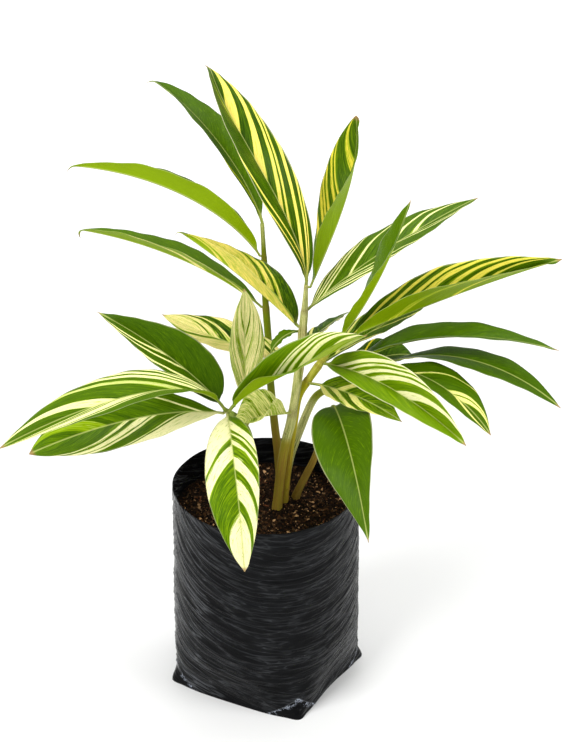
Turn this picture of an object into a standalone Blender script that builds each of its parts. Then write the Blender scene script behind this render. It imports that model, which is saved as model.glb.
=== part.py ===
"""Variegated ginger plant in a poly grow bag.

Metres, +Z up. The origin is the middle of the bag's flat base. The photograph's viewer stands on the
-Y side, so +X is to the right of the view and +Y is away from the viewer.
Run with: blender --background --python part.py
"""
import math

import bmesh
import bpy
import numpy as np
from mathutils import Vector

MM = 0.001

# Bag: a flat poly bag opened out, round at its rim and square at its base
RIM_RADIUS = 100 * MM
RIM_HEIGHT = 235 * MM
BASE_HALF_SIDE = 83 * MM
BASE_CORNER_REACH = 103.5 * MM
BASE_CORNERS = (8.0, 104.0, 196.6, 289.6)
BAG_WALL = 1.0 * MM
ROUND_ABOVE = 80 * MM
EAR_REACH = 4.5 * MM
EAR_HEIGHT = 18 * MM
EAR_SHARPNESS = 24
BAG_RINGS = (0, 4, 10, 20, 32, 46, 62, 82, 140, 202, 235)
BAG_SIDES = 48

# Soil: fills the bag to this height, with low mounds
SOIL_TOP = 202 * MM
SOIL_RELIEF = 2.0 * MM
SOIL_SHARES = (0.12, 0.3, 0.5, 0.7, 0.86)
FIT_GAP = 0.3 * MM
FILLING_GAP = 0.7 * MM

# Leaf: number of stations along it, its thickness and how the blade flattens at its stalk
LEAF_STATIONS = 14
SMALL_LEAF_STATIONS = 10
SMALL_LEAF = 110 * MM
LEAF_COLUMNS = (-1.0, -0.5, 0.0, 0.5, 1.0)
MIDRIB_THICKNESS = 2.0 * MM
EDGE_THICKNESS = 0.7 * MM
STALK_HALF_WIDTH = 1.2 * MM
STALK_CLEARANCE = 1.2 * MM
END_CLEARANCE = 1.0 * MM
OUTLINE_SHARPNESS = 1.9
FLAT_BELOW = 0.3

# Stems: points that each one passes through (mm), from inside the soil to its top, and its radii
STEMS = {
    "stem_main": dict(
        path=((10, 5, 165), (12, 5, 202), (17, 5, 255), (22, 3, 288), (27, 2, 311), (33, 2, 354),
              (37, 3, 390), (39, 5, 419), (41, 7, 445), (42, 8, 467)),
        radius=(5.5, 3.5)),
    "stem_right": dict(
        path=((13, 21, 165), (19, 18, 202), (24, 16, 255), (30, 14, 305), (35, 13, 336),
              (46, 8, 359), (56, 3, 378), (64, -1, 393), (73, -6, 408)),
        radius=(5.0, 3.5)),
    "stem_left_tall": dict(
        path=((18, 60, 165), (15, 60, 208), (13, 60, 240), (9, 58, 280), (5, 58, 330),
              (3, 60, 377), (0, 62, 424), (-1, 64, 467), (-3, 67, 509)),
        radius=(5.0, 3.0)),
    "stem_back_right": dict(
        path=((19, 44, 165), (21, 42, 208), (26, 39, 245), (36, 34, 280), (51, 28, 323),
              (66, 24, 338), (80, 21, 348), (95, 19, 351)),
        radius=(5.0, 3.5)),
    "stem_low_right": dict(
        path=((27, 30, 165), (32, 25, 202), (44, 21, 235), (52, 18, 256), (63, 12, 295),
              (71, 4, 328)),
        radius=(4.5, 3.0)),
    "stem_front_left": dict(
        path=((-17, 14, 165), (-17, 12, 202), (-16, 8, 248), (-16, 2, 282), (-20, -6, 305),
              (-29, -17, 325), (-42, -30, 344)),
        radius=(5.0, 3.5)),
}

# Leaves, in mm and degrees. on: the stem that carries the leaf. near: a point near its place on the
# stem; without it, the leaf goes on from the stem's end. heading: 0 is to the right, 90 away from
# the viewer. rise and droop: the slope where the leaf starts and where it ends. bend: below 1 it
# curves most near its start. sweep: how far the heading turns to the left on the way. roll: turn
# about the midrib at the start and the end. fold: how far the left and the right half are folded up.
# fold_end: the same towards the tip, where it differs. ease: the shares of the length between which
# the fold changes to that.
# cup: how much further each half curls up by its edge. belly: the widest place. stalk: the share of
# the length that is stalk.
LEAVES = {
    "leaf_top_left": dict(
        on="stem_left_tall", heading=134, sweep=-11, rise=70, droop=1, bend=0.6,
        length=235, width=50, roll=(-5, -15), fold=(30, 20)),
    "leaf_top_striped": dict(
        on="stem_main", heading=148, sweep=-49, rise=102, droop=10, bend=0.45,
        length=293, width=60, roll=(26, -20), fold=(36, 38)),
    "leaf_top_right": dict(
        on="stem_main", near=(46, 9, 464), heading=69, sweep=-16, rise=27, droop=106, bend=1.85,
        length=200, width=66, roll=(50, -15), fold=(5, 65), belly=0.55),
    "leaf_left_plain": dict(
        on="stem_left_tall", near=(-6.5, 65.5, 473), heading=168, sweep=-2, rise=62, droop=-3, bend=0.6,
        length=235, width=44, roll=(-28, -26), fold=(50, 52), belly=0.4),
    "leaf_left_lower": dict(
        on="stem_left_tall", near=(-4.5, 62.5, 415), heading=166, sweep=-13, rise=43, droop=-4, bend=0.65,
        length=230, width=45, roll=(-6, -9), fold=(38, 20)),
    "leaf_left_striped": dict(
        on="stem_main", near=(33.5, 7.5, 420), heading=154, sweep=-11, rise=37, droop=16, bend=0.95,
        length=170, width=64, roll=(8, -10), fold=(60, 20), belly=0.36),
    "leaf_left_back": dict(
        on="stem_main", near=(31, 9, 377), heading=144, sweep=4, rise=-5, droop=10, bend=0.9,
        length=175, width=50, roll=(-5, 20), fold=(17, 25), stalk=0.06),
    "leaf_upright_cream": dict(
        on="stem_front_left", near=(-17, -6, 314), heading=100, sweep=-9, rise=66, droop=114, bend=1.1,
        length=160, width=41, roll=(-19, -14), fold=(20, 14), stalk=0.15),
    "leaf_middle_front": dict(
        on="stem_front_left", near=(-34, -34, 341), heading=-25, sweep=55, rise=82, droop=15, bend=0.28,
        length=172, width=63, roll=(-64, 12), fold=(68, 90), fold_end=(71, 46), ease=(0.28, 0.56),
        belly=0.48, stalk=0.05),
    "leaf_curled": dict(
        on="stem_main", near=(24, -5, 324), heading=204, sweep=8, rise=9, droop=0, bend=1.0,
        length=64, width=60, roll=(0, 0), fold=(62, 50), fold_end=(0, 50), ease=(0.2, 0.9), cup=30,
        belly=0.5, stalk=0.06),
    "leaf_front_hanging": dict(
        on="stem_front_left", near=(-38, -33, 338), heading=275, sweep=8, rise=5, droop=-79, bend=0.9,
        length=185, width=62, roll=(2, -21), fold=(38, 8), belly=0.48, stalk=0.02),
    "leaf_front_left_upper": dict(
        on="stem_front_left", near=(-44, -24, 343), heading=172, sweep=-13, rise=56, droop=20, bend=0.7,
        length=165, width=64, roll=(18, 28), fold=(26, 50), belly=0.34, stalk=0.05),
    "leaf_front_left_long": dict(
        on="stem_front_left", heading=228, sweep=-30, rise=74, droop=-23, bend=0.45,
        length=275, width=54, roll=(-2, 18), fold=(21, 30), belly=0.47, stalk=0.05),
    "leaf_front_left_low": dict(
        on="stem_front_left", near=(-44, -28, 337), heading=210, sweep=-7, rise=24, droop=-15, bend=0.75,
        length=215, width=66, roll=(15, 24), fold=(2, 20), belly=0.54, stalk=0.02),
    "leaf_right_upright": dict(
        on="stem_right", near=(73, 0, 406), heading=-12, sweep=4, rise=52, droop=76, bend=0.7,
        length=180, width=52, roll=(19, -22), fold=(22, 20), stalk=0.06),
    "leaf_right_upper": dict(
        on="stem_main", near=(45, 11, 438), heading=30, sweep=1, rise=34, droop=12, bend=0.65,
        length=225, width=60, roll=(1, 4), fold=(13, 15)),
    "leaf_right_big": dict(
        on="stem_right", heading=12, sweep=3, rise=20, droop=11, bend=1.1,
        length=250, width=66, roll=(4, -36), fold=(55, 68), stalk=0.06),
    "leaf_right_behind": dict(
        on="stem_right", near=(60, 8.5, 377), heading=36, sweep=5, rise=16, droop=7, bend=1.05,
        length=160, width=48, roll=(13, -12), fold=(20, 20)),
    "leaf_right_long": dict(
        on="stem_back_right", near=(84, 20, 357), heading=-23, sweep=13, rise=76, droop=-12, bend=0.47,
        length=245, width=52, roll=(2, 5), fold=(17, 20)),
    "leaf_right_low": dict(
        on="stem_back_right", heading=-19, sweep=-8, rise=51, droop=-34, bend=0.8,
        length=240, width=46, roll=(14, -9), fold=(5, 8), stalk=0.2),
    "leaf_right_low_striped": dict(
        on="stem_back_right", near=(94, 14, 348), heading=-39, sweep=7, rise=65, droop=-49, bend=0.7,
        length=190, width=50, roll=(20, -14), fold=(17, 20), stalk=0.25),
    "leaf_right_front": dict(
        on="stem_right", near=(62.5, -2.5, 381), heading=-48, sweep=14, rise=17, droop=-32, bend=0.9,
        length=190, width=58, roll=(-22, -25), fold=(54, 30)),
    "leaf_right_hanging": dict(
        on="stem_low_right", heading=280, sweep=5, rise=17, droop=-55, bend=0.7,
        length=180, width=70, roll=(-3, -45), fold=(32, 8), belly=0.35),
    "leaf_right_curled": dict(
        on="stem_right", near=(47, 3, 355), heading=-36, sweep=2, rise=13, droop=-20, bend=0.85,
        length=115, width=46, roll=(-10, -10), fold=(21, 10), belly=0.4, stalk=0.12),
    "leaf_back_right": dict(
        on="stem_back_right", near=(80, 26, 352), heading=36, sweep=5, rise=18, droop=-26, bend=1.0,
        length=105, width=46, roll=(-2, -14), fold=(28, 20), belly=0.55),
    "leaf_back_narrow": dict(
        on="stem_back_right", near=(86, 25, 345), heading=13, sweep=-6, rise=7, droop=5, bend=1.0,
        length=92, width=24, roll=(0, -3), fold=(6, 4)),
    "leaf_back_middle": dict(
        on="stem_main", near=(38, 9, 396), heading=54, sweep=3, rise=9, droop=-4, bend=0.95,
        length=90, width=30, roll=(17, 17), fold=(2, 20)),
    "leaf_back_small": dict(
        on="stem_main", near=(33, 9, 414), heading=205, sweep=3, rise=11, droop=-67, bend=0.9,
        length=40, width=16, roll=(0, 2), fold=(18, 18)),
}
LEAF_GREEN = (0.10, 0.26, 0.03)
LEAF_CREAM = (0.72, 0.70, 0.36)
STRIPED = ("leaf_top_striped", "leaf_left_striped", "leaf_left_back", "leaf_upright_cream",
           "leaf_curled", "leaf_front_hanging", "leaf_right_upper", "leaf_right_big")


def clear_scene():
    for obj in list(bpy.data.objects):
        bpy.data.objects.remove(obj, do_unlink=True)


def make_collection(name):
    collection = bpy.data.collections.new(name)
    bpy.context.scene.collection.children.link(collection)
    return collection


def make_material(name, color, roughness):
    material = bpy.data.materials.new(name)
    material.use_nodes = True
    shader = material.node_tree.nodes["Principled BSDF"]
    shader.inputs["Base Color"].default_value = (*color, 1.0)
    shader.inputs["Roughness"].default_value = roughness
    shader.inputs["Metallic"].default_value = 0.0
    return material


def add_object(name, mesh, material, collection):
    mesh.materials.append(material)
    obj = bpy.data.objects.new(name, mesh)
    collection.objects.link(obj)
    return obj


def smooth(value):
    """Ease from 0 to 1 with level ends."""
    value = min(max(value, 0.0), 1.0)
    return value * value * (3 - 2 * value)


def side_width(index):
    """The angle between a corner of the base and the next one round."""
    return (BASE_CORNERS[(index + 1) % 4] - BASE_CORNERS[index]) % 360


def corner_turn(azimuth):
    """How far round from one corner of the base (0) to the next (90)."""
    for index, corner in enumerate(BASE_CORNERS):
        beyond = (azimuth - corner) % 360
        if beyond < side_width(index):
            return 90 * beyond / side_width(index)
    return 0.0


def column_azimuth(column):
    """The direction of a column of the bag's grid, with one column at each corner."""
    index, step = divmod(column % BAG_SIDES, BAG_SIDES // 4)
    return BASE_CORNERS[index] + side_width(index) * step / (BAG_SIDES // 4)


def body_radius(height, azimuth):
    """Distance from the axis to the bag's wall: a circle at the rim, a sharp square at the base."""
    half_side = BASE_HALF_SIDE + (RIM_RADIUS - BASE_HALF_SIDE) * smooth(height / ROUND_ABOVE)
    corner = BASE_CORNER_REACH + (RIM_RADIUS - BASE_CORNER_REACH) * height / RIM_HEIGHT
    power = 1 / (0.5 - math.log2(corner / half_side))
    turn = math.radians(corner_turn(azimuth) - 45)
    return half_side * (abs(math.cos(turn)) ** power + abs(math.sin(turn)) ** power) ** (-1 / power)


def bag_radius(height, azimuth):
    """The bag's outside, with a pointed folded ear at each corner of the base."""
    body = body_radius(height, azimuth)
    at_corner = abs(math.cos(2 * math.radians(corner_turn(azimuth)))) ** EAR_SHARPNESS
    ear = EAR_REACH * at_corner * (1 - smooth(height / EAR_HEIGHT))
    return body + ear


def filling_radius(height, azimuth, inset):
    """The wall without its ears, moved in by the inset at right angles to the wall."""
    body = body_radius(height, azimuth)
    slope = (body_radius(height, azimuth + 1) - body_radius(height, azimuth - 1)) / math.radians(2)
    return body - inset * math.hypot(1, slope / body)


def wrapped_grid(rows, columns):
    """A flat grid as rows of vertices: row by row, with the first column repeated at the end."""
    mesh = bmesh.new()
    bmesh.ops.create_grid(mesh, x_segments=columns, y_segments=rows, size=0.5)
    mesh.verts.ensure_lookup_table()
    return mesh


def place_rows(mesh, columns, place):
    """Move each vertex of a wrapped grid to place(row, column) and close the seam."""
    for index, vert in enumerate(mesh.verts):
        vert.co = place(index // (columns + 1), index % (columns + 1))
    bmesh.ops.remove_doubles(mesh, verts=mesh.verts[:], dist=0.00001)


def to_mesh(mesh, name):
    """Turn a bmesh into mesh data with all faces as triangles that point outwards."""
    bmesh.ops.recalc_face_normals(mesh, faces=mesh.faces[:])
    bmesh.ops.triangulate(mesh, faces=mesh.faces[:], quad_method="FIXED")
    data = bpy.data.meshes.new(name)
    mesh.to_mesh(data)
    mesh.free()
    return data


def turned_point(radius, azimuth, height):
    angle = math.radians(azimuth)
    return Vector((radius * math.cos(angle), radius * math.sin(angle), height))


def make_bag(collection):
    """The bag's wall and base: one sheet with its thickness on the inside."""
    mesh = wrapped_grid(len(BAG_RINGS) - 1, BAG_SIDES)

    def place(row, column):
        azimuth = column_azimuth(column)
        height = BAG_RINGS[row] * MM
        return turned_point(bag_radius(height, azimuth), azimuth, height)

    place_rows(mesh, BAG_SIDES, place)
    base_edges = [e for e in mesh.edges if e.is_boundary and e.verts[0].co.z < FIT_GAP]
    bmesh.ops.edgeloop_fill(mesh, edges=base_edges)
    data = to_mesh(mesh, "bag")
    bag = add_object("bag", data, make_material("black_film", (0.012, 0.012, 0.014), 0.3), collection)
    wall = bag.modifiers.new("wall", "SOLIDIFY")
    wall.thickness = BAG_WALL
    wall.offset = -1
    return bag


def soil_relief(x, y):
    """Low mounds on the soil."""
    wave = math.sin(x * 62 + 1.0) * math.cos(y * 71) + 0.6 * math.sin(x * 37 - y * 96)
    return SOIL_RELIEF * wave


def make_soil(collection):
    """The soil: it fills the bag from its base to its uneven top."""
    inset = BAG_WALL + FILLING_GAP
    floor = BAG_WALL + FIT_GAP
    wall_heights = [floor] + [ring * MM for ring in BAG_RINGS if 4 < ring < SOIL_TOP / MM - 1]
    rings = [(floor, 0.0)] + [(height, 1.0) for height in wall_heights]
    rings += [(SOIL_TOP, 1.0)] + [(SOIL_TOP, share) for share in reversed(SOIL_SHARES)]
    rings += [(SOIL_TOP, 0.0)]
    mesh = wrapped_grid(len(rings) - 1, BAG_SIDES)

    def place(row, column):
        azimuth = column_azimuth(column)
        height, share = rings[row]
        reach = filling_radius(height, azimuth, inset)
        point = turned_point(reach * share, azimuth, height)
        if height == SOIL_TOP and share < 1:
            point.z += soil_relief(point.x, point.y)
        return point

    place_rows(mesh, BAG_SIDES, place)
    return add_object("soil", to_mesh(mesh, "soil"), make_material("soil", (0.03, 0.018, 0.01), 0.95),
                      collection)


def make_tube(name, path, radii, material, collection):
    """A tapered round stem through the points, turned from a curve into a closed mesh."""
    curve = bpy.data.curves.new(name, "CURVE")
    curve.dimensions = "3D"
    curve.bevel_depth = MM
    curve.bevel_resolution = 2
    curve.use_fill_caps = True
    spline = curve.splines.new("POLY")
    spline.points.add(len(path) - 1)
    for index, point in enumerate(path):
        share = index / (len(path) - 1)
        spline.points[index].co = (*(c * MM for c in point), 1.0)
        spline.points[index].radius = radii[0] + (radii[1] - radii[0]) * share
    source = bpy.data.objects.new(name + "_curve", curve)
    collection.objects.link(source)
    evaluated = source.evaluated_get(bpy.context.evaluated_depsgraph_get())
    data = bpy.data.meshes.new_from_object(evaluated)
    data.name = name
    mesh = bmesh.new()
    mesh.from_mesh(data)
    bmesh.ops.remove_doubles(mesh, verts=mesh.verts[:], dist=0.00001)
    bmesh.ops.recalc_face_normals(mesh, faces=mesh.faces[:])
    mesh.to_mesh(data)
    mesh.free()
    obj = bpy.data.objects.new(name, data)
    obj.matrix_world = source.matrix_world.copy()
    data.materials.clear()
    data.materials.append(material)
    collection.objects.link(obj)
    bpy.data.objects.remove(source, do_unlink=True)
    return obj


def make_stem(name, spec, soil, material, parts, cutters):
    """A stem, and the plain hole that it stands in."""
    stem = make_tube(name, spec["path"], spec["radius"], material, parts)
    gap = FIT_GAP / MM
    wider = [radius + gap for radius in spec["radius"]]
    x, y, z = spec["path"][0]
    deeper = ((x, y, z - gap),) + spec["path"][1:4]
    taper = wider[0] + (wider[1] - wider[0]) * 3 / (len(spec["path"]) - 1)
    cutter = make_tube(name + "_hole", deeper, (wider[0], taper), material, cutters)
    cutter.hide_render = True
    cutter.display_type = "WIRE"
    cut = soil.modifiers.new(name + "_hole", "BOOLEAN")
    cut.operation = "DIFFERENCE"
    cut.solver = "EXACT"
    cut.object = cutter
    stem.data.shade_smooth()


def leaf_half_width(share, spec):
    """Half of the blade's width at a share of the leaf's length."""
    stalk = spec.get("stalk", 0.02)
    belly = spec.get("belly", 0.45)
    along = min(max((share - stalk) / (1 - stalk), 0.0), 1.0)
    if not 0 < along < 1:
        return STALK_HALF_WIDTH
    rising = (along / belly) ** (OUTLINE_SHARPNESS * belly)
    falling = ((1 - along) / (1 - belly)) ** (OUTLINE_SHARPNESS * (1 - belly))
    return max(spec["width"] * MM / 2 * rising * falling, STALK_HALF_WIDTH)


def leaf_start(spec):
    """The leaf's first point: just clear of its stem's side or of its end."""
    stem = STEMS[spec["on"]]
    path = [Vector(point) * MM for point in stem["path"]]
    if "near" not in spec:
        return path[-1] + (path[-1] - path[-2]).normalized() * END_CLEARANCE
    near = Vector(spec["near"]) * MM
    best = None
    for index in range(len(path) - 1):
        run = path[index + 1] - path[index]
        along = min(max((near - path[index]).dot(run) / run.length_squared, 0.0), 1.0)
        axis = path[index] + run * along
        if best is None or (near - axis).length < best[0]:
            best = ((near - axis).length, axis, (index + along) / (len(path) - 1))
    start_radius, end_radius = stem["radius"]
    radius = (start_radius + (end_radius - start_radius) * best[2]) * MM
    return best[1] + (near - best[1]).normalized() * (radius + STALK_CLEARANCE)


def leaf_frames(spec, stations):
    """The midrib's points with the directions to the leaf's right and out of its upper face."""
    point = np.array(leaf_start(spec))
    step = spec["length"] * MM / stations
    frames = []
    previous = None
    for station in range(stations + 1):
        share = station / stations
        pitch = math.radians(spec["rise"] + (spec["droop"] - spec["rise"]) * share ** spec["bend"])
        heading = math.radians(spec["heading"] + spec["sweep"] * share)
        tangent = np.array((math.cos(pitch) * math.cos(heading), math.cos(pitch) * math.sin(heading),
                            math.sin(pitch)))
        if previous is not None:
            point = point + (tangent + previous) / 2 * step
        previous = tangent
        right = np.array((math.sin(heading), -math.cos(heading), 0.0))
        up = np.cross(right, tangent)
        start, end = spec["roll"]
        roll = math.radians(start + (end - start) * smooth(share))
        frames.append((share, point, math.cos(roll) * right + math.sin(roll) * up,
                       math.cos(roll) * up - math.sin(roll) * right))
    return frames


def blade_fold(spec, share, side):
    """The angle, in degrees, that the left (side 0) or right (side 1) half is folded up."""
    start, end = spec["fold"][side], spec.get("fold_end", spec["fold"])[side]
    first, last = spec.get("ease", (0.3, 0.6))
    return start + (end - start) * smooth((share - first) / (last - first))


def blade_offset(spec, share, across, half_width):
    """How far a place on the blade lies beside and above the midrib. across runs from -1 to 1."""
    openness = smooth(half_width / (FLAT_BELOW * spec["width"] * MM / 2))
    fold = math.radians(blade_fold(spec, share, 0 if across < 0 else 1)) * openness
    cup = math.radians(spec.get("cup", 0)) * openness
    reach = abs(across)
    if cup < 0.001:
        side, lift = reach * math.cos(fold), reach * math.sin(fold)
    else:
        side = (math.sin(fold + cup * reach) - math.sin(fold)) / cup
        lift = (math.cos(fold) - math.cos(fold + cup * reach)) / cup
    return math.copysign(side, across) * half_width, lift * half_width


def make_leaf(name, spec, materials, collection):
    """A leaf: a grid laid along the midrib, thick at the midrib and thin at its edges."""
    stations = LEAF_STATIONS if spec["length"] * MM > SMALL_LEAF else SMALL_LEAF_STATIONS
    columns = len(LEAF_COLUMNS) - 1
    mesh = bmesh.new()
    bmesh.ops.create_grid(mesh, x_segments=columns, y_segments=stations, size=0.5)
    mesh.verts.ensure_lookup_table()
    frames = leaf_frames(spec, stations)
    for index, vert in enumerate(mesh.verts):
        share, point, right, up = frames[index // (columns + 1)]
        across = LEAF_COLUMNS[index % (columns + 1)]
        half_width = leaf_half_width(share, spec)
        beside, above = blade_offset(spec, share, across, half_width)
        vert.co = Vector(point + right * beside + up * above)
    bmesh.ops.triangulate(mesh, faces=mesh.faces[:])
    data = bpy.data.meshes.new(name)
    mesh.to_mesh(data)
    mesh.free()
    leaf = add_object(name, data, materials[name in STRIPED], collection)
    thick = leaf.vertex_groups.new(name="thick")
    for index in range(len(data.vertices)):
        share = frames[index // (columns + 1)][0]
        across = abs(LEAF_COLUMNS[index % (columns + 1)])
        thick.add([index], max(0.0, 1 - across * 2) * (1 - 0.6 * share), "REPLACE")
    plate = leaf.modifiers.new("plate", "SOLIDIFY")
    plate.thickness = MIDRIB_THICKNESS
    plate.offset = 0
    plate.vertex_group = "thick"
    plate.thickness_vertex_group = EDGE_THICKNESS / MIDRIB_THICKNESS
    return leaf


def main():
    clear_scene()
    parts = make_collection("ginger_plant_in_bag")
    cutters = make_collection("cutters")
    make_bag(parts)
    soil = make_soil(parts)
    stem_green = make_material("stem", (0.16, 0.17, 0.035), 0.55)
    for name, spec in STEMS.items():
        make_stem(name, spec, soil, stem_green, parts, cutters)
    blades = (make_material("leaf_green", LEAF_GREEN, 0.4), make_material("leaf_cream", LEAF_CREAM, 0.4))
    for name, spec in LEAVES.items():
        make_leaf(name, spec, blades, parts)


main()
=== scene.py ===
"""Variegated ginger plant in a black poly grow bag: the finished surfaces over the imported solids.

Metres, +Z up, origin in the middle of the bag's flat base. The viewer stands on the -Y side.
"""
import math

import bmesh
import bpy
import numpy as np
from bpy.props import FloatProperty, FloatVectorProperty, IntProperty, PointerProperty
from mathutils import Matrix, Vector, noise


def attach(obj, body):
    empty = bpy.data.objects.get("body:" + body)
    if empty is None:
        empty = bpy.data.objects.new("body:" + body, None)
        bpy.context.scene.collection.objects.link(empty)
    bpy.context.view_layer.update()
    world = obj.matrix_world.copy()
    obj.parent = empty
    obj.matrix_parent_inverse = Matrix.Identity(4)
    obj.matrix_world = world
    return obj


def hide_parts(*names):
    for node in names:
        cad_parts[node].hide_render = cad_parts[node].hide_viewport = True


bl_info = {
    "name": "Ginger plant in a grow bag",
    "version": (1, 0, 0),
    "blender": (4, 5, 0),
    "location": "3D View > Sidebar > Ginger",
    "description": "Builds a variegated ginger plant in a black poly grow bag",
    "category": "Add Mesh",
}

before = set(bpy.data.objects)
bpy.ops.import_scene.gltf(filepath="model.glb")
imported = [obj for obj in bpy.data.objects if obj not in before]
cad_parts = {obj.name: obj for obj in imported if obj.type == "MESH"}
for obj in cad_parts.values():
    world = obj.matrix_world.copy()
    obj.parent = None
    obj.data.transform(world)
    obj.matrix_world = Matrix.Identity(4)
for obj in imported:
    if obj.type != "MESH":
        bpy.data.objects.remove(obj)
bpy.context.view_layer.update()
MM = 0.001

# Bag
RIM_RADIUS = 100 * MM
RIM_HEIGHT = 235 * MM
BASE_HALF_SIDE = 83 * MM
BASE_CORNER_REACH = 103.5 * MM
BASE_CORNERS = (8.0, 104.0, 196.6, 289.6)
SIDE_FOLD = 16.6
HALF_ROUND = math.pi * RIM_RADIUS
FOLD_HEIGHT = 25 * MM
FOLD_REACH = 34 * MM
ROUND_ABOVE = 80 * MM
EAR_REACH = 6 * MM
EAR_HEIGHT = 18 * MM
EAR_SHARPNESS = 60
HEM_DROP = 5.5 * MM
HEM_HALF_WIDTH = 0.9 * MM
RIM_FROM = 0.8
RIM_BEND = 1.2 * MM
RIM_RISE = 1.6 * MM
FILM_INSET = 0.4 * MM
BAG_ROWS = 156
BAG_SIDES = 184

# Soil
SOIL_TOP = 202 * MM
SOIL_INSET = 1.6 * MM
SOIL_SIDES = 150
SOIL_RINGS = 46
SOIL_LEVELS = 14
SOIL_FOOT = 2.2 * MM
FOOT_HEIGHT = 30 * MM
WALL_RISE = 1.5 * MM
WALL_SHARE = 0.85
LITTER_LIFT = 0.2 * MM
LITTER_RINGS = 30
LITTER_SIDES = 90
LUMP_UNEVEN = 0.13
LUMP_TILT = 0.7
LUMP_SPIN = 6.283
SIZE_SEED = 11
TONE_SEED = 23
# Litter: its piece and setting, how far out it lies, and its smallest and largest size (mm)
LITTER = (
    ("soil_crumbs", "crumbs", 0.958, (1.4, 1.2, 1.0), (4.6, 4.0, 3.0)),
    ("bark_chips", "chips", 0.958, (2.4, 1.6, 1.2), (8.0, 4.4, 2.8)),
    ("pale_bits", "bits", 0.958, (0.6, 0.5, 0.5), (2.6, 1.4, 1.2)),
    ("red_twigs", "twigs", 0.84, (7, 1.1, 1.0), (17, 2.2, 1.8)))

# Leaves
STATIONS = 84
HALF_COLUMNS = (0.0, 0.035, 0.08, 0.15, 0.25, 0.37, 0.5, 0.63, 0.76, 0.87, 0.95, 1.0)
STALK_HALF_WIDTH = 2.0 * MM
THREAD_HALF_WIDTH = 0.35 * MM
THREAD_FROM = 0.3
STALK_CLEARANCE = 1.2 * MM
END_CLEARANCE = 1.0 * MM
OUTLINE_SHARPNESS = 1.9
FLAT_BELOW = 0.3
SMALL_LEAF = 110
HOOK_FROM = 0.935
VEIN_START = -0.6
VEIN_RANGE = 1.8
BAND_SOFTNESS = 0.005

# Canes
CANE_SIDES = 28
CURVE_STEPS = 9
SHEATH_SHARE = 0.16
LIP_SHARE = 0.012
FOOT_RISE = 14 * MM
CANE_END_RADIUS = 2.1 * MM
CANE_END_FROM = 0.8
STRIPES_FADE = 12

# Stems: the points that each one passes through (mm), its two radii, and its striped stretches
# (from and to in mm of height, how strong), and its own green
STEMS = {
    "stem_main": dict(
        path=((10, 5, 165), (12, 5, 202), (17, 5, 255), (22, 3, 288), (27, 2, 311), (33, 2, 354),
              (37, 3, 390), (39, 5, 419), (41, 7, 445), (42, 8, 467)),
        radius=(5.5, 3.5), striped=(285, 475, 0.9), green=(0.24, 0.25, 0.012)),
    "stem_right": dict(
        path=((13, 21, 165), (19, 18, 202), (24, 16, 255), (30, 14, 305), (35, 13, 336),
              (46, 8, 359), (56, 3, 378), (64, -1, 393), (73, -6, 408)),
        radius=(5.0, 3.5), striped=(352, 420, 0.25), green=(0.40, 0.38, 0.010)),
    "stem_left_tall": dict(
        path=((18, 60, 165), (15, 60, 208), (13, 60, 240), (9, 58, 280), (5, 58, 330),
              (3, 60, 377), (0, 62, 424), (-1, 64, 467), (-3, 67, 509)),
        radius=(5.0, 3.0), striped=(480, 520, 0.4), green=(0.125, 0.165, 0.004)),
    "stem_back_right": dict(
        path=((19, 44, 165), (21, 42, 208), (26, 39, 245), (36, 34, 280), (51, 28, 323),
              (66, 24, 338), (80, 21, 348), (95, 19, 351)),
        radius=(5.0, 3.5), striped=(215, 330, 1.0), green=(0.22, 0.26, 0.02)),
    "stem_low_right": dict(
        path=((27, 30, 165), (32, 25, 202), (44, 21, 235), (52, 18, 256), (63, 12, 295),
              (71, 4, 328)),
        radius=(4.5, 3.0), striped=(0, 1, 0.0), green=(0.22, 0.20, 0.03)),
    "stem_front_left": dict(
        path=((-17, 14, 165), (-17, 12, 202), (-16, 8, 248), (-16, 2, 282), (-20, -6, 305),
              (-29, -17, 325), (-42, -30, 344)),
        radius=(5.0, 3.5), striped=(300, 350, 0.3), green=(0.16, 0.27, 0.012)),
}

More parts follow.
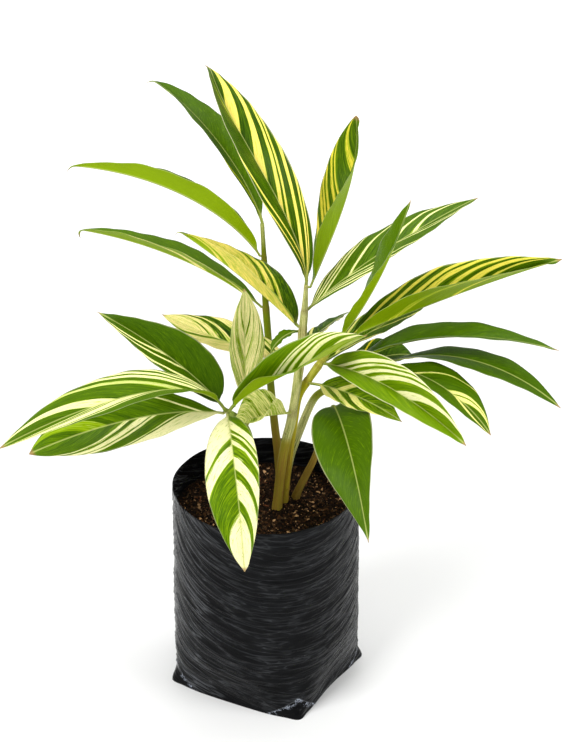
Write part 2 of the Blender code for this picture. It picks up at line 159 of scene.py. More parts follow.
# Leaves, in mm and degrees. on: the stem that carries the leaf. near: a point near its place on the
# stem; without it, the leaf goes on from the stem's end. heading: 0 is to the right, 90 away from
# the viewer. rise and droop: the slope where the leaf starts and ends. bend: below 1 it curves most
# near its start. sweep: how far the heading turns left on the way. roll: turn about the midrib at
# the start and the end. fold: how far the left and right halves are folded up. fold_end: the same
# towards the tip. ease: the shares between which the fold changes. cup: how far each half curls up
# towards its edge. stalk: the share of the length before the blade starts. belly: the share where
# the blade is widest. hook: how the thin tip turns (heading, slope).
LEAVES = {
    "leaf_top_left": dict(
        on="stem_left_tall", heading=134, sweep=-11, rise=70, droop=1, bend=0.6,
        length=235, width=50, roll=(-5, -15), fold=(30, 20), hook=(40, -30)),
    "leaf_top_striped": dict(
        on="stem_main", heading=148, sweep=-49, rise=102, droop=10, bend=0.45,
        length=293, width=60, roll=(26, -20), fold=(36, 38), hook=(25, 0)),
    "leaf_top_right": dict(
        on="stem_main", near=(46, 9, 464), heading=69, sweep=-16, rise=27, droop=106, bend=1.85,
        length=200, width=66, roll=(50, -15), fold=(5, 65), belly=0.55),
    "leaf_left_plain": dict(
        on="stem_left_tall", near=(-6.5, 65.5, 473), heading=168, sweep=-2, rise=62, droop=-3, bend=0.6,
        length=235, width=44, roll=(-28, -26), fold=(50, 52), belly=0.4, hook=(6, -60)),
    "leaf_left_lower": dict(
        on="stem_left_tall", near=(-4.5, 62.5, 415), heading=166, sweep=-13, rise=43, droop=-4, bend=0.65,
        length=230, width=45, roll=(-6, -9), fold=(38, 20), hook=(10, -110)),
    "leaf_left_striped": dict(
        on="stem_main", near=(33.5, 7.5, 420), heading=154, sweep=-11, rise=37, droop=16, bend=0.95,
        length=170, width=64, roll=(8, -10), fold=(60, 20), belly=0.36, hook=(20, -70)),
    "leaf_left_back": dict(
        on="stem_main", near=(31, 9, 377), heading=144, sweep=4, rise=-5, droop=10, bend=0.9,
        length=175, width=50, roll=(-5, 20), fold=(17, 25), stalk=0.06),
    "leaf_upright_cream": dict(
        on="stem_front_left", near=(-17, -6, 314), heading=100, sweep=-9, rise=66, droop=114, bend=1.1,
        length=160, width=41, roll=(-19, -14), fold=(20, 14), stalk=0.15),
    "leaf_middle_front": dict(
        on="stem_front_left", near=(-34, -34, 341), heading=-25, sweep=55, rise=82, droop=15, bend=0.28,
        length=172, width=63, roll=(-64, 12), fold=(68, 90), fold_end=(71, 46), ease=(0.28, 0.56),
        belly=0.48, stalk=0.05),
    "leaf_curled": dict(
        on="stem_main", near=(24, -5, 324), heading=204, sweep=8, rise=9, droop=0, bend=1.0,
        length=64, width=60, roll=(0, 0), fold=(62, 50), fold_end=(0, 50), ease=(0.2, 0.9), cup=30,
        belly=0.5, stalk=0.06),
    "leaf_front_hanging": dict(
        on="stem_front_left", near=(-38, -33, 338), heading=275, sweep=8, rise=5, droop=-79, bend=0.9,
        length=185, width=62, roll=(2, -21), fold=(38, 8), belly=0.48, stalk=0.02),
    "leaf_front_left_upper": dict(
        on="stem_front_left", near=(-44, -24, 343), heading=172, sweep=-13, rise=56, droop=20, bend=0.7,
        length=165, width=64, roll=(18, 28), fold=(26, 50), belly=0.34, stalk=0.05),
    "leaf_front_left_long": dict(
        on="stem_front_left", heading=228, sweep=-30, rise=74, droop=-23, bend=0.45,
        length=275, width=54, roll=(-2, 18), fold=(21, 30), belly=0.47, stalk=0.05),
    "leaf_front_left_low": dict(
        on="stem_front_left", near=(-44, -28, 337), heading=210, sweep=-7, rise=24, droop=-15, bend=0.75,
        length=215, width=66, roll=(15, 24), fold=(2, 20), belly=0.54, stalk=0.02),
    "leaf_right_upright": dict(
        on="stem_right", near=(73, 0, 406), heading=-12, sweep=4, rise=52, droop=76, bend=0.7,
        length=180, width=52, roll=(19, -22), fold=(22, 20), stalk=0.06),
    "leaf_right_upper": dict(
        on="stem_main", near=(45, 11, 438), heading=30, sweep=1, rise=34, droop=12, bend=0.65,
        length=225, width=60, roll=(1, 4), fold=(13, 15)),
    "leaf_right_big": dict(
        on="stem_right", heading=12, sweep=3, rise=20, droop=11, bend=1.1,
        length=250, width=66, roll=(4, -36), fold=(55, 68), stalk=0.06),
    "leaf_right_behind": dict(
        on="stem_right", near=(60, 8.5, 377), heading=36, sweep=5, rise=16, droop=7, bend=1.05,
        length=160, width=48, roll=(13, -12), fold=(20, 20)),
    "leaf_right_long": dict(
        on="stem_back_right", near=(84, 20, 357), heading=-23, sweep=13, rise=76, droop=-12, bend=0.47,
        length=245, width=52, roll=(2, 5), fold=(17, 20)),
    "leaf_right_low": dict(
        on="stem_back_right", heading=-19, sweep=-8, rise=51, droop=-34, bend=0.8,
        length=240, width=46, roll=(14, -9), fold=(5, 8), stalk=0.2),
    "leaf_right_low_striped": dict(
        on="stem_back_right", near=(94, 14, 348), heading=-39, sweep=7, rise=65, droop=-49, bend=0.7,
        length=190, width=50, roll=(20, -14), fold=(17, 20), stalk=0.25),
    "leaf_right_front": dict(
        on="stem_right", near=(62.5, -2.5, 381), heading=-48, sweep=14, rise=17, droop=-32, bend=0.9,
        length=190, width=58, roll=(-22, -25), fold=(54, 30)),
    "leaf_right_hanging": dict(
        on="stem_low_right", heading=280, sweep=5, rise=17, droop=-55, bend=0.7,
        length=180, width=70, roll=(-3, -45), fold=(32, 8), belly=0.35),
    "leaf_right_curled": dict(
        on="stem_right", near=(47, 3, 355), heading=-36, sweep=2, rise=13, droop=-20, bend=0.85,
        length=115, width=46, roll=(-10, -10), fold=(21, 10), belly=0.4, stalk=0.12),
    "leaf_back_right": dict(
        on="stem_back_right", near=(80, 26, 352), heading=36, sweep=5, rise=18, droop=-26, bend=1.0,
        length=105, width=46, roll=(-2, -14), fold=(28, 20), belly=0.55),
    "leaf_back_narrow": dict(
        on="stem_back_right", near=(86, 25, 345), heading=13, sweep=-6, rise=7, droop=5, bend=1.0,
        length=92, width=24, roll=(0, -3), fold=(6, 4)),
    "leaf_back_middle": dict(
        on="stem_main", near=(38, 9, 396), heading=54, sweep=3, rise=9, droop=-4, bend=0.95,
        length=90, width=30, roll=(17, 17), fold=(2, 20)),
    "leaf_back_small": dict(
        on="stem_main", near=(33, 9, 414), heading=205, sweep=3, rise=11, droop=-67, bend=0.9,
        length=40, width=16, roll=(0, 2), fold=(18, 18)),
}

# Markings: left and right list the bands: where each starts and ends, as shares of the leaf's length
# where its veins leave the midrib, and how pale it is where that isn't 1. ground: how pale the rest
# is. streaks: how strong the fine lines along the veins are. slant: how far along the leaf a vein
# runs before it reaches the edge. cream: the colour of the palest parts. edge: how pale the edge is.
YELLOW = (0.86, 0.62, 0.03)
CREAM = (0.80, 0.72, 0.24)
IVORY = (0.82, 0.78, 0.42)
STRAW = (0.80, 0.66, 0.28)
MARKINGS = {
    "leaf_top_left": dict(ground=0.18, left=((-0.02, 0.02, 0.7),), slant=0.3, streaks=0.1, cream=YELLOW),
    "leaf_top_striped": dict(
        ground=0.1, slant=0.42, cream=(0.84, 0.66, 0.13), streaks=0.2, edge=0.5, fray=0.02,
        left=((-0.12, -0.08), (0.04, 0.08), (0.6, 0.63, 0.6)),
        right=((-0.12, -0.09), (-0.06, -0.02), (0.06, 0.12), (0.2, 0.235), (0.265, 0.3), (0.39, 0.48),
               (0.59, 0.74))),
    "leaf_top_right": dict(
        ground=0.24, slant=0.36, cream=(0.82, 0.68, 0.06), streaks=0.3,
        left=((0.05, 0.12), (0.2, 0.25), (0.27, 0.3), (0.33, 0.36), (0.41, 0.45), (0.49, 0.51),
              (0.68, 0.75, 0.85)),
        right=()),
    "leaf_left_plain": dict(ground=0.26, slant=0.34, streaks=0.08, cream=YELLOW),
    "leaf_left_lower": dict(ground=0.26, slant=0.34, streaks=0.1, cream=CREAM, rib=0.9,
                            left=((0.3, 0.36), (0.05, 0.1))),
    "leaf_left_striped": dict(
        ground=0.84, slant=0.36, cream=(0.82, 0.66, 0.14), streaks=0.5, lines=1.0,
        left=((-0.4, -0.06, 0.25), (0.55, 0.6, 0.45), (0.66, 1.0, 0.35)),
        right=((-0.4, 0.1, 0.12), (0.14, 0.18, 0.15), (0.24, 0.28, 0.2), (0.6, 1.0, 0.35))),
    "leaf_left_back": dict(
        ground=0.86, slant=0.36, cream=STRAW, streaks=0.6,
        left=((0.52, 0.6, 0.3),),
        right=((0.0, 0.04, 0.1), (0.1, 0.16, 0.1), (0.36, 0.46, 0.05), (0.5, 0.56, 0.08),
               (0.64, 0.66, 0.3))),
    "leaf_upright_cream": dict(
        ground=0.9, slant=0.7, cream=(0.82, 0.72, 0.36), streaks=0.75,
        left=((-0.3, 0.02, 0.55), (0.08, 0.14, 0.6), (0.26, 0.44, 0.55), (0.6, 0.66, 0.4)),
        right=((-0.2, 0.04, 0.5), (0.14, 0.18, 0.35), (0.4, 0.44, 0.5), (0.56, 0.6, 0.3))),
    "leaf_middle_front": dict(
        ground=0.34, slant=0.4, cream=IVORY, streaks=0.14, fray=0.02,
        left=((0.33, 0.355), (0.375, 0.42), (0.455, 0.49), (0.525, 0.6), (0.70, 0.78)),
        right=((0.46, 0.72, 0.62), (0.76, 1.0, 0.7))),
    "leaf_curled": dict(
        ground=0.8, slant=0.3, cream=(0.78, 0.74, 0.30), streaks=0.9,
        left=((0.2, 0.3, 0.5), (0.6, 0.7, 0.5)), right=((0.1, 0.2, 0.4), (0.5, 0.58, 0.5))),
    "leaf_front_hanging": dict(
        ground=0.3, slant=0.24, cream=IVORY, streaks=0.3, lines=1.0,
        left=((0.08, 0.155), (0.18, 0.2), (0.245, 0.275), (0.345, 0.435), (0.49, 0.6), (0.67, 1.0)),
        right=((-0.3, 0.23), (0.27, 0.36), (0.68, 1.0))),
    "leaf_front_left_upper": dict(
        ground=0.14, slant=0.55, cream=(0.82, 0.76, 0.34), streaks=0.12, edge=0.3,
        left=((0.05, 0.12), (0.31, 0.36), (0.46, 0.52)), right=()),
    "leaf_front_left_long": dict(
        ground=0.22, slant=0.5, cream=(0.82, 0.78, 0.36), streaks=0.16,
        left=((0.3, 0.34), (0.38, 0.5), (0.54, 0.56), (0.6, 0.63)),
        right=((-0.24, -0.18), (-0.12, -0.06), (0.0, 0.06), (0.1, 0.16), (0.24, 0.3, 0.7), (0.53, 0.64))),
    "leaf_front_left_low": dict(
        ground=0.24, slant=0.4, cream=IVORY, streaks=0.2,
        left=((-0.4, 0.17), (0.2, 0.215), (0.35, 0.38), (0.4, 0.46), (0.495, 0.52)),
        right=((0.1, 0.13), (0.6, 0.72, 0.5))),
    "leaf_right_upright": dict(ground=0.27, slant=0.34, streaks=0.08, cream=YELLOW),
    "leaf_right_upper": dict(
        ground=0.2, slant=0.38, cream=(0.80, 0.76, 0.36), streaks=0.2,
        left=((-0.2, -0.14), (-0.08, -0.04), (0.0, 0.04), (0.07, 0.1), (0.24, 0.27), (0.47, 0.5),
              (0.61, 0.65)),
        right=((-0.1, -0.05), (0.02, 0.06), (0.1, 0.12), (0.2, 0.23), (0.5, 0.53), (0.58, 0.6))),
    "leaf_right_big": dict(
        ground=0.2, slant=0.4, cream=(0.84, 0.70, 0.09), streaks=0.3,
        left=((-0.05, 0.0), (0.08, 0.13), (0.2, 0.24), (0.27, 0.33), (0.4, 0.44), (0.5, 0.57),
              (0.63, 0.66)),
        right=((0.22, 0.28, 0.7), (0.5, 0.54, 0.8))),
    "leaf_right_behind": dict(ground=0.22, slant=0.34, cream=CREAM, streaks=0.2,
                              left=((0.1, 0.14),), right=((0.0, 0.1), (0.4, 0.44))),
    "leaf_right_long": dict(ground=0.16, slant=0.34, cream=YELLOW, streaks=0.08),
    "leaf_right_low": dict(ground=0.16, slant=0.34, cream=CREAM, streaks=0.08, right=((0.0, 0.04),)),
    "leaf_right_low_striped": dict(
        ground=0.2, slant=0.34, cream=CREAM, streaks=0.12, lines=0.4,
        left=((0.44, 0.46), (0.66, 0.69), (0.71, 0.77)), right=((0.68, 0.74),)),
    "leaf_right_front": dict(
        ground=0.36, slant=0.4, cream=IVORY, streaks=0.14, edge=0.8,
        left=((0.08, 0.13), (0.17, 0.2), (0.24, 0.29), (0.33, 0.385), (0.52, 0.61)), right=()),
    "leaf_right_hanging": dict(ground=0.2, slant=0.3, cream=YELLOW, streaks=0.06, edge=0.4),
    "leaf_right_curled": dict(
        ground=0.3, slant=0.34, cream=CREAM, streaks=0.5,
        left=((0.3, 0.36),), right=((-0.1, 0.1), (0.2, 0.3), (0.4, 0.5))),
    "leaf_back_right": dict(ground=0.12, slant=0.34, cream=YELLOW, streaks=0.25,
                            left=((0.2, 0.24),), right=((0.3, 0.33), (0.0, 0.05))),
    "leaf_back_narrow": dict(ground=0.2, slant=0.3, cream=YELLOW, streaks=0.1),
    "leaf_back_middle": dict(ground=0.1, slant=0.34, cream=CREAM, streaks=0.4,
                             left=((0.1, 0.2),), right=((0.3, 0.4), (0.0, 0.1))),
    "leaf_back_small": dict(ground=0.25, slant=0.3, cream=YELLOW, streaks=0.1),
}
STRIPED_SLOT = "leaf_striped"
PLAIN_SLOT = "leaf_plain"
PLAIN_LEAVES = (
    "leaf_top_left", "leaf_left_plain", "leaf_left_lower", "leaf_right_upright", "leaf_right_long",
    "leaf_right_low", "leaf_right_hanging", "leaf_back_right", "leaf_back_narrow", "leaf_back_small")


# Settings
class GingerBagSettings(bpy.types.PropertyGroup):
    film: FloatProperty(name="Film thickness", description="Thickness of the bag's film",
                        default=0.9 * MM, unit="LENGTH")
    wrinkles: FloatProperty(name="Wrinkle depth", description="How deep the long wrinkles are",
                            default=1.1 * MM, unit="LENGTH")
    droop: FloatProperty(name="Wrinkle droop", description="How far wrinkles sag below the rim",
                         default=80 * MM, unit="LENGTH")
    colour: FloatVectorProperty(name="Film colour", description="Colour of the film",
                                default=(0.003, 0.0032, 0.0036), subtype="COLOR", size=3)
    # Painted highlight: the pale lines painted along the film's creases and along the corner folds' ridges
    # stand in for reflections of the lights.
    crease_highlight: FloatVectorProperty(name="Crease highlight colour", description="Colour of the highlights painted along the film's creases",
                                default=(0.080, 0.084, 0.090), subtype="COLOR", size=3)
    # Painted highlight: the shine on the corner folds is painted as pale scribbles in the film's colour.
    shine: FloatVectorProperty(name="Shine colour", description="Colour of the shine on the corner folds",
                               default=(0.40, 0.44, 0.52), subtype="COLOR", size=3)


class GingerSoilSettings(bpy.types.PropertyGroup):
    crumbs: FloatProperty(name="Crumbs per square metre", description="Density of the dark crumbs",
                          default=95000.0)
    chips: FloatProperty(name="Bark chips per square metre", description="Density of the bark chips",
                         default=9000.0)
    bits: FloatProperty(name="Pale bits per square metre", description="Density of the small pale bits",
                        default=30000.0)
    twigs: FloatProperty(name="Twigs per square metre", description="Density of the reddish twigs",
                         default=1500.0)
    seed: IntProperty(name="Seed", description="Seed of the scatter", default=4)
    colour: FloatVectorProperty(name="Soil colour", description="Colour of the moist soil",
                                default=(0.020, 0.0085, 0.003), subtype="COLOR", size=3)
    bark: FloatVectorProperty(name="Bark colour", description="Colour of the palest bark chips",
                              default=(0.55, 0.31, 0.15), subtype="COLOR", size=3)


class GingerPlantSettings(bpy.types.PropertyGroup):
    blade: FloatProperty(name="Blade thickness", description="Thickness of a leaf's blade",
                         default=0.5 * MM, unit="LENGTH")
    midrib: FloatProperty(name="Midrib height", description="How far the midrib stands out below",
                          default=1.2 * MM, unit="LENGTH")
    wave: FloatProperty(name="Edge wave", description="Height of the waves along a leaf's edges",
                        default=0.8 * MM, unit="LENGTH")
    dark: FloatVectorProperty(name="Dark green", description="Deepest green of the leaves",
                              default=(0.009, 0.034, 0.0003), subtype="COLOR", size=3)
    green: FloatVectorProperty(name="Green", description="Usual green of the leaves",
                               default=(0.080, 0.165, 0.0006), subtype="COLOR", size=3)
    light: FloatVectorProperty(name="Light green", description="Yellowish green of young blades",
                               default=(0.270, 0.400, 0.003), subtype="COLOR", size=3)
    # Partly painted light: the undersides' own duller olive green, brightened to stand in for light
    # shining through the thin blade.
    backlit_underside: FloatVectorProperty(name="Underside green", description="Olive green of the undersides",
                               default=(0.30, 0.43, 0.002), subtype="COLOR", size=3)
    stem: FloatVectorProperty(name="Stem base", description="Tan of the old sheaths low on the stems",
                              default=(0.250, 0.145, 0.026), subtype="COLOR", size=3)
    brightness: FloatProperty(name="Stem brightness", description="How bright the stems' own greens are",
                              default=1.0)


class GingerStageSettings(bpy.types.PropertyGroup):
    floor: FloatVectorProperty(name="Floor colour", description="Colour of the plain floor",
                               default=(0.80, 0.80, 0.80), subtype="COLOR", size=3)
    key: FloatProperty(name="Key light", description="Power of the main soft light",
                       default=85.0, unit="POWER")
    fill: FloatProperty(name="Fill light", description="Power of the fill light", default=34.0,
                        unit="POWER")


# Shared shapes
def smooth(value):
    """Ease from 0 to 1 with level ends."""
    value = min(max(value, 0.0), 1.0)
    return value * value * (3 - 2 * value)


def side_width(index):
    """The angle between a corner of the base and the next one round."""
    return (BASE_CORNERS[(index + 1) % 4] - BASE_CORNERS[index]) % 360


def corner_turn(azimuth):
    """How far round from one corner of the base (0) to the next (90)."""
    for index, corner in enumerate(BASE_CORNERS):
        beyond = (azimuth - corner) % 360
        if beyond < side_width(index):
            return 90 * beyond / side_width(index)
    return 0.0


def column_azimuth(column):
    """The direction of a column of the bag's grid, with one column at each corner."""
    index, step = divmod(column % BAG_SIDES, BAG_SIDES // 4)
    return BASE_CORNERS[index] + side_width(index) * step / (BAG_SIDES // 4)


def body_radius(height, azimuth):
    """Distance from the axis to the bag's wall: a circle at the rim, a sharp square at the base."""
    half_side = BASE_HALF_SIDE + (RIM_RADIUS - BASE_HALF_SIDE) * smooth(height / ROUND_ABOVE)
    corner = BASE_CORNER_REACH + (RIM_RADIUS - BASE_CORNER_REACH) * height / RIM_HEIGHT
    power = 1 / (0.5 - math.log2(corner / half_side))
    turn = math.radians(corner_turn(azimuth) - 45)
    return half_side * (abs(math.cos(turn)) ** power + abs(math.sin(turn)) ** power) ** (-1 / power)


def bag_radius(height, azimuth):
    """The bag's outside, with a pointed folded ear at each corner of the base."""
    at_corner = abs(math.cos(2 * math.radians(corner_turn(azimuth)))) ** EAR_SHARPNESS
    ear = EAR_REACH * at_corner * (1 - smooth(height / EAR_HEIGHT))
    return body_radius(height, azimuth) + ear


def turned_point(radius, azimuth, height):
    angle = math.radians(azimuth)
    return Vector((radius * math.cos(angle), radius * math.sin(angle), height))


def loft_mesh(name, rings, maps, lid=True):
    """A mesh through rings of points, closed below and, with a lid, above. maps: for each map its
    name and the values at each quad's corners."""
    rings = np.array(rings)
    rows, size, _ = rings.shape
    faces = []
    for row in range(rows - 1):
        for column in range(size):
            beside = (column + 1) % size
            faces.append((row * size + column, row * size + beside,
                          (row + 1) * size + beside, (row + 1) * size + column))
    faces.append(tuple(reversed(range(size))))
    if lid:
        faces.append(tuple((rows - 1) * size + column for column in range(size)))
    mesh = bpy.data.meshes.new(name)
    mesh.from_pydata(rings.reshape(-1, 3).tolist(), [], faces)
    for layer, corners in maps.items():
        caps = [np.repeat(corners[0, 0, :1], size, axis=0)]
        if lid:
            caps.append(np.repeat(corners[-1, 0, -1:], size, axis=0))
        values = np.concatenate((corners.reshape(-1, 2), *caps))
        mesh.uv_layers.new(name=layer).data.foreach_set("uv", values.astype(np.float32).ravel())
    mesh.shade_smooth()
    return mesh


def quad_corners(first, second):
    """Values at the corners of each quad, from two grids of rows by (ring size + 1)."""
    grid = np.stack((np.array(first), np.array(second)), axis=-1)
    return np.stack((grid[:-1, :-1], grid[:-1, 1:], grid[1:, 1:], grid[1:, :-1]), axis=2)


def add_piece(name, mesh, material, slot, *nodes):
    mesh.materials.clear()
    mesh.materials.append(material)
    piece = bpy.data.objects.new(name, mesh)
    bpy.context.scene.collection.objects.link(piece)
    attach(piece, "root")
    if nodes:
        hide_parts(*nodes)
    return piece


# Material helpers
def new_material(name, roughness, specular=0.5):
    material = bpy.data.materials.new(name)
    material.use_nodes = True
    shader = material.node_tree.nodes["Principled BSDF"]
    shader.inputs["Roughness"].default_value = roughness
    shader.inputs["Specular IOR Level"].default_value = specular
    return material, material.node_tree, shader


class Value:
    """A value in a node tree. Plain arithmetic on it adds the nodes."""

    def __init__(self, tree, socket):
        self.tree = tree
        self.socket = socket

    def __add__(self, other):
        return math_node(self.tree, "ADD", self, other)

    def __sub__(self, other):
        return math_node(self.tree, "SUBTRACT", self, other)

    def __rsub__(self, other):
        return math_node(self.tree, "SUBTRACT", other, self)

    def __mul__(self, other):
        return math_node(self.tree, "MULTIPLY", self, other)

    def __truediv__(self, other):
        return math_node(self.tree, "DIVIDE", self, other)

    def __gt__(self, other):
        return math_node(self.tree, "GREATER_THAN", self, other)

    def __abs__(self):
        return math_node(self.tree, "ABSOLUTE", self)

    def clamped(self):
        """The value kept between 0 and 1."""
        return math_node(self.tree, "ADD", self, 0.0, clamp=True)

    def step(self, low, high):
        """0 below low and 1 above high, or the other way round where low is the higher."""
        node = self.tree.nodes.new("ShaderNodeMapRange")
        node.interpolation_type = "SMOOTHSTEP"
        plug(self.tree, self, node.inputs["Value"])
        turned = low > high
        node.inputs["From Min"].default_value = high if turned else low
        node.inputs["From Max"].default_value = low if turned else high
        node.inputs["To Min"].default_value = 1.0 if turned else 0.0
        node.inputs["To Max"].default_value = 0.0 if turned else 1.0
        return Value(self.tree, node.outputs["Result"])

    def mix(self, first, second):
        """The first colour at 0 and the second at 1."""
        node = self.tree.nodes.new("ShaderNodeMix")
        node.data_type = "RGBA"
        for value, socket in ((self, node.inputs[0]), (first, node.inputs[6]), (second, node.inputs[7])):
            plug(self.tree, (*value, 1.0) if isinstance(value, tuple) else value, socket)
        return Value(self.tree, node.outputs[2])

    def into(self, socket):
        """Link the value to a node's input."""
        self.tree.links.new(self.socket, socket)


def math_node(tree, operation, *values, clamp=False):
    node = tree.nodes.new("ShaderNodeMath")
    node.operation = operation
    node.use_clamp = clamp
    for index, value in enumerate(values):
        plug(tree, value, node.inputs[index])
    return Value(tree, node.outputs[0])


def plug(tree, value, socket):
    """Link a value or an output to a socket, or set the socket to a plain value."""
    if isinstance(value, Value):
        value = value.socket
    if isinstance(value, bpy.types.NodeSocket):
        tree.links.new(value, socket)
    else:
        socket.default_value = value


def noise_value(vector, scale, detail=3.0, roughness=0.55):
    node = vector.tree.nodes.new("ShaderNodeTexNoise")
    node.inputs["Scale"].default_value = scale
    node.inputs["Detail"].default_value = detail
    node.inputs["Roughness"].default_value = roughness
    vector.into(node.inputs["Vector"])
    return Value(vector.tree, node.outputs[0])


def combined(x, y, z=0.0):
    node = x.tree.nodes.new("ShaderNodeCombineXYZ")
    for value, socket in zip((x, y, z), node.inputs):
        plug(x.tree, value, socket)
    return Value(x.tree, node.outputs[0])


def parts_of(vector):
    """The three parts of a vector."""
    split = vector.tree.nodes.new("ShaderNodeSeparateXYZ")
    vector.into(split.inputs[0])
    return [Value(vector.tree, socket) for socket in split.outputs]


def map_values(tree, layer):
    """The two values of one of the mesh's UV maps."""
    uv = tree.nodes.new("ShaderNodeUVMap")
    uv.uv_map = layer
    return parts_of(Value(tree, uv.outputs[0]))[:2]


def bump(height, strength, distance, shader):
    node = height.tree.nodes.new("ShaderNodeBump")
    node.inputs["Strength"].default_value = strength
    node.inputs["Distance"].default_value = distance
    height.into(node.inputs["Height"])
    height.tree.links.new(node.outputs[0], shader.inputs["Normal"])


def object_coords(tree):
    return Value(tree, tree.nodes.new("ShaderNodeTexCoord").outputs["Object"])


def scaled(values, factor):
    """Plain values, such as a colour or a size, times a factor."""
    return tuple(value * factor for value in values)


def fibre_group():
    """Fine lines that follow a plant's veins or fibres, a slow wobble and a low relief."""
    group = bpy.data.node_groups.new("plant_fibres", "ShaderNodeTree")
    for title in ("Vein", "Along", "Seed"):
        group.interface.new_socket(name=title, in_out="INPUT", socket_type="NodeSocketFloat")
    for title in ("Streak", "Wobble", "Relief", "Lines"):
        group.interface.new_socket(name=title, in_out="OUTPUT", socket_type="NodeSocketFloat")
    source, result = group.nodes.new("NodeGroupInput"), group.nodes.new("NodeGroupOutput")
    vein, along, seed = (Value(group, socket) for socket in source.outputs[:3])
    fine_vein = vein * 26.0
    bits = noise_value(combined(fine_vein * 1.7, along * 5.0, seed), 4.0, 2.0, 0.6)
    noise_value(combined(fine_vein, along * 1.6, seed), 4.0, 3.0, 0.65).into(result.inputs["Streak"])
    noise_value(combined(vein * 3.0, along, seed), 3.0, 2.0).into(result.inputs["Wobble"])
    noise_value(combined(fine_vein * 3.0, along, seed), 5.0, 1.0).into(result.inputs["Relief"])
    bits.step(0.57, 0.66).into(result.inputs["Lines"])
    return group


def plant_fibres(tree, **values):
    """The outputs of the shared fibre group, by name."""
    node = tree.nodes.new("ShaderNodeGroup")
    node.node_tree = bpy.data.node_groups.get("plant_fibres") or fibre_group()
    for name, value in values.items():
        plug(tree, value, node.inputs[name])
    return {socket.name: Value(tree, socket) for socket in node.outputs}


def band_ramp(vein, bands, ground):
    """The ground value, with each band's own value (or 1) between its start and its end."""
    ramp = vein.tree.nodes.new("ShaderNodeValToRGB")
    elements = ramp.color_ramp.elements
    stops = []
    for start, end, *pale in sorted(bands):
        level = pale[0] if pale else 1.0
        stops += [(start - BAND_SOFTNESS, ground), (start + BAND_SOFTNESS, level),
                  (end - BAND_SOFTNESS, level), (end + BAND_SOFTNESS, ground)]
    for element, place in zip(elements, (0.0, 1.0)):
        element.position = place
        element.color = (ground, ground, ground, 1.0)
    for place, value in stops:
        element = elements.new(min(max((place - VEIN_START) / VEIN_RANGE, 0.0), 1.0))
        element.color = (value, value, value, 1.0)
    ((vein - VEIN_START) / VEIN_RANGE).into(ramp.inputs[0])
    return Value(vein.tree, ramp.outputs[0])


# Bag
def thin_lines(value, width):
    """Lines where a noise crosses its middle."""
    return abs(value - 0.5).step(width, 0.0)


def film_material(settings):
    """Black film: thin pale lines painted along the creases as painted highlights, dense at the side
    folds, painted sheen patches, and a glossy fold over each base corner, with a painted highlight along
    its ridge and painted highlight scribbles just below it.
    """
    material, tree, shader = new_material("black_film", 0.3, 0.055)
    colour, crease_highlight, shine = tuple(settings.colour), tuple(settings.crease_highlight), tuple(settings.shine)
    around, level = map_values(tree, "folds")
    away, height = map_values(tree, "corner")
    at_side = abs(around - HALF_ROUND / 2).step(0.35 * HALF_ROUND / 2, HALF_ROUND / 2)
    long_creases = noise_value(combined(around, level * 9.0), 11.0, 2.0, 0.5)
    short_creases = noise_value(combined(around, level * 4.5), 32.0, 2.0, 0.5)
    sheen_patches = noise_value(combined(around, level * 1.6), 30.0, 2.0)
    # Painted highlights: thin pale lines along the long creases, denser at the side folds, and short pale
    # ripples inside the sheen patches.
    lines = thin_lines(long_creases, 0.035) * (at_side * 0.85 + 0.15)
    ripples = thin_lines(short_creases, 0.045) * sheen_patches.step(0.45, 0.65)
    # Painted sheen: broad patches where the film's colour is doubled stand in for the lights' reflection
    # on the film.
    shade = sheen_patches.step(0.35, 0.7).mix(colour, scaled(colour, 2.0))
    shade = (lines + ripples * 0.22).clamped().mix(shade, crease_highlight)
    past = height - (FOLD_HEIGHT - away * (FOLD_HEIGHT / FOLD_REACH))
    inside = past.step(0.5 * MM, -0.5 * MM)
    shade = inside.mix(shade, colour)
    # Painted highlight: a pale line along the ridge of each corner fold, in the crease highlight colour.
    shade = (abs(past).step(1.2 * MM, 0.3 * MM) * 0.5).mix(shade, crease_highlight)
    # Painted highlight: pale scribbles just below each corner fold's ridge, in the shine colour.
    scribble = thin_lines(noise_value(object_coords(tree), 95.0, 4.0, 0.7), 0.035)
    scribble = scribble * inside * past.step(-9 * MM, -2 * MM)
    (scribble * 0.8).mix(shade, shine).into(shader.inputs["Base Color"])
    (0.26 - inside * 0.16).into(shader.inputs["Roughness"])
    bump(long_creases + short_creases * 0.3, 0.7, 0.005, shader)
    return material


def wrinkle_level(settings, azimuth, height):
    """The height that a wrinkle here would have at the side folds: it sags between them."""
    sag = settings.droop * (0.4 + 0.6 * (height / RIM_HEIGHT) ** 1.3)
    return height + sag * abs(math.sin(math.radians(azimuth - SIDE_FOLD))) ** 0.9


def wrinkle(settings, azimuth, height):
    """How far the film stands out here: creases that sag between the side folds."""
    angle = math.radians(azimuth - SIDE_FOLD)
    level = wrinkle_level(settings, azimuth, height)
    x, y = math.cos(angle), math.sin(angle)
    broad = noise.noise(Vector((x * 1.3, y * 1.3, level * 50)))
    main = noise.noise(Vector((x * 1.9 + 7, y * 1.9, level * 105)))
    fine = noise.noise(Vector((x * 3.4, y * 3.4 + 3, level * 210)))
    lean = noise.noise(Vector((x * 2.4, y * 2.4 - 5, (level + 0.03 * math.sin(2 * angle)) * 130)))
    ridges = max(0.0, 1 - 3.2 * abs(main)) ** 2 + 0.7 * max(0.0, 1 - 3.2 * abs(lean)) ** 2
    return settings.wrinkles * (0.6 * broad + 0.62 * ridges - 0.35 + 0.22 * fine)


def corner_distance(azimuth):
    """How far along the base the nearest corner is."""
    turn = corner_turn(azimuth)
    return math.radians(min(turn, 90 - turn)) * BASE_CORNER_REACH


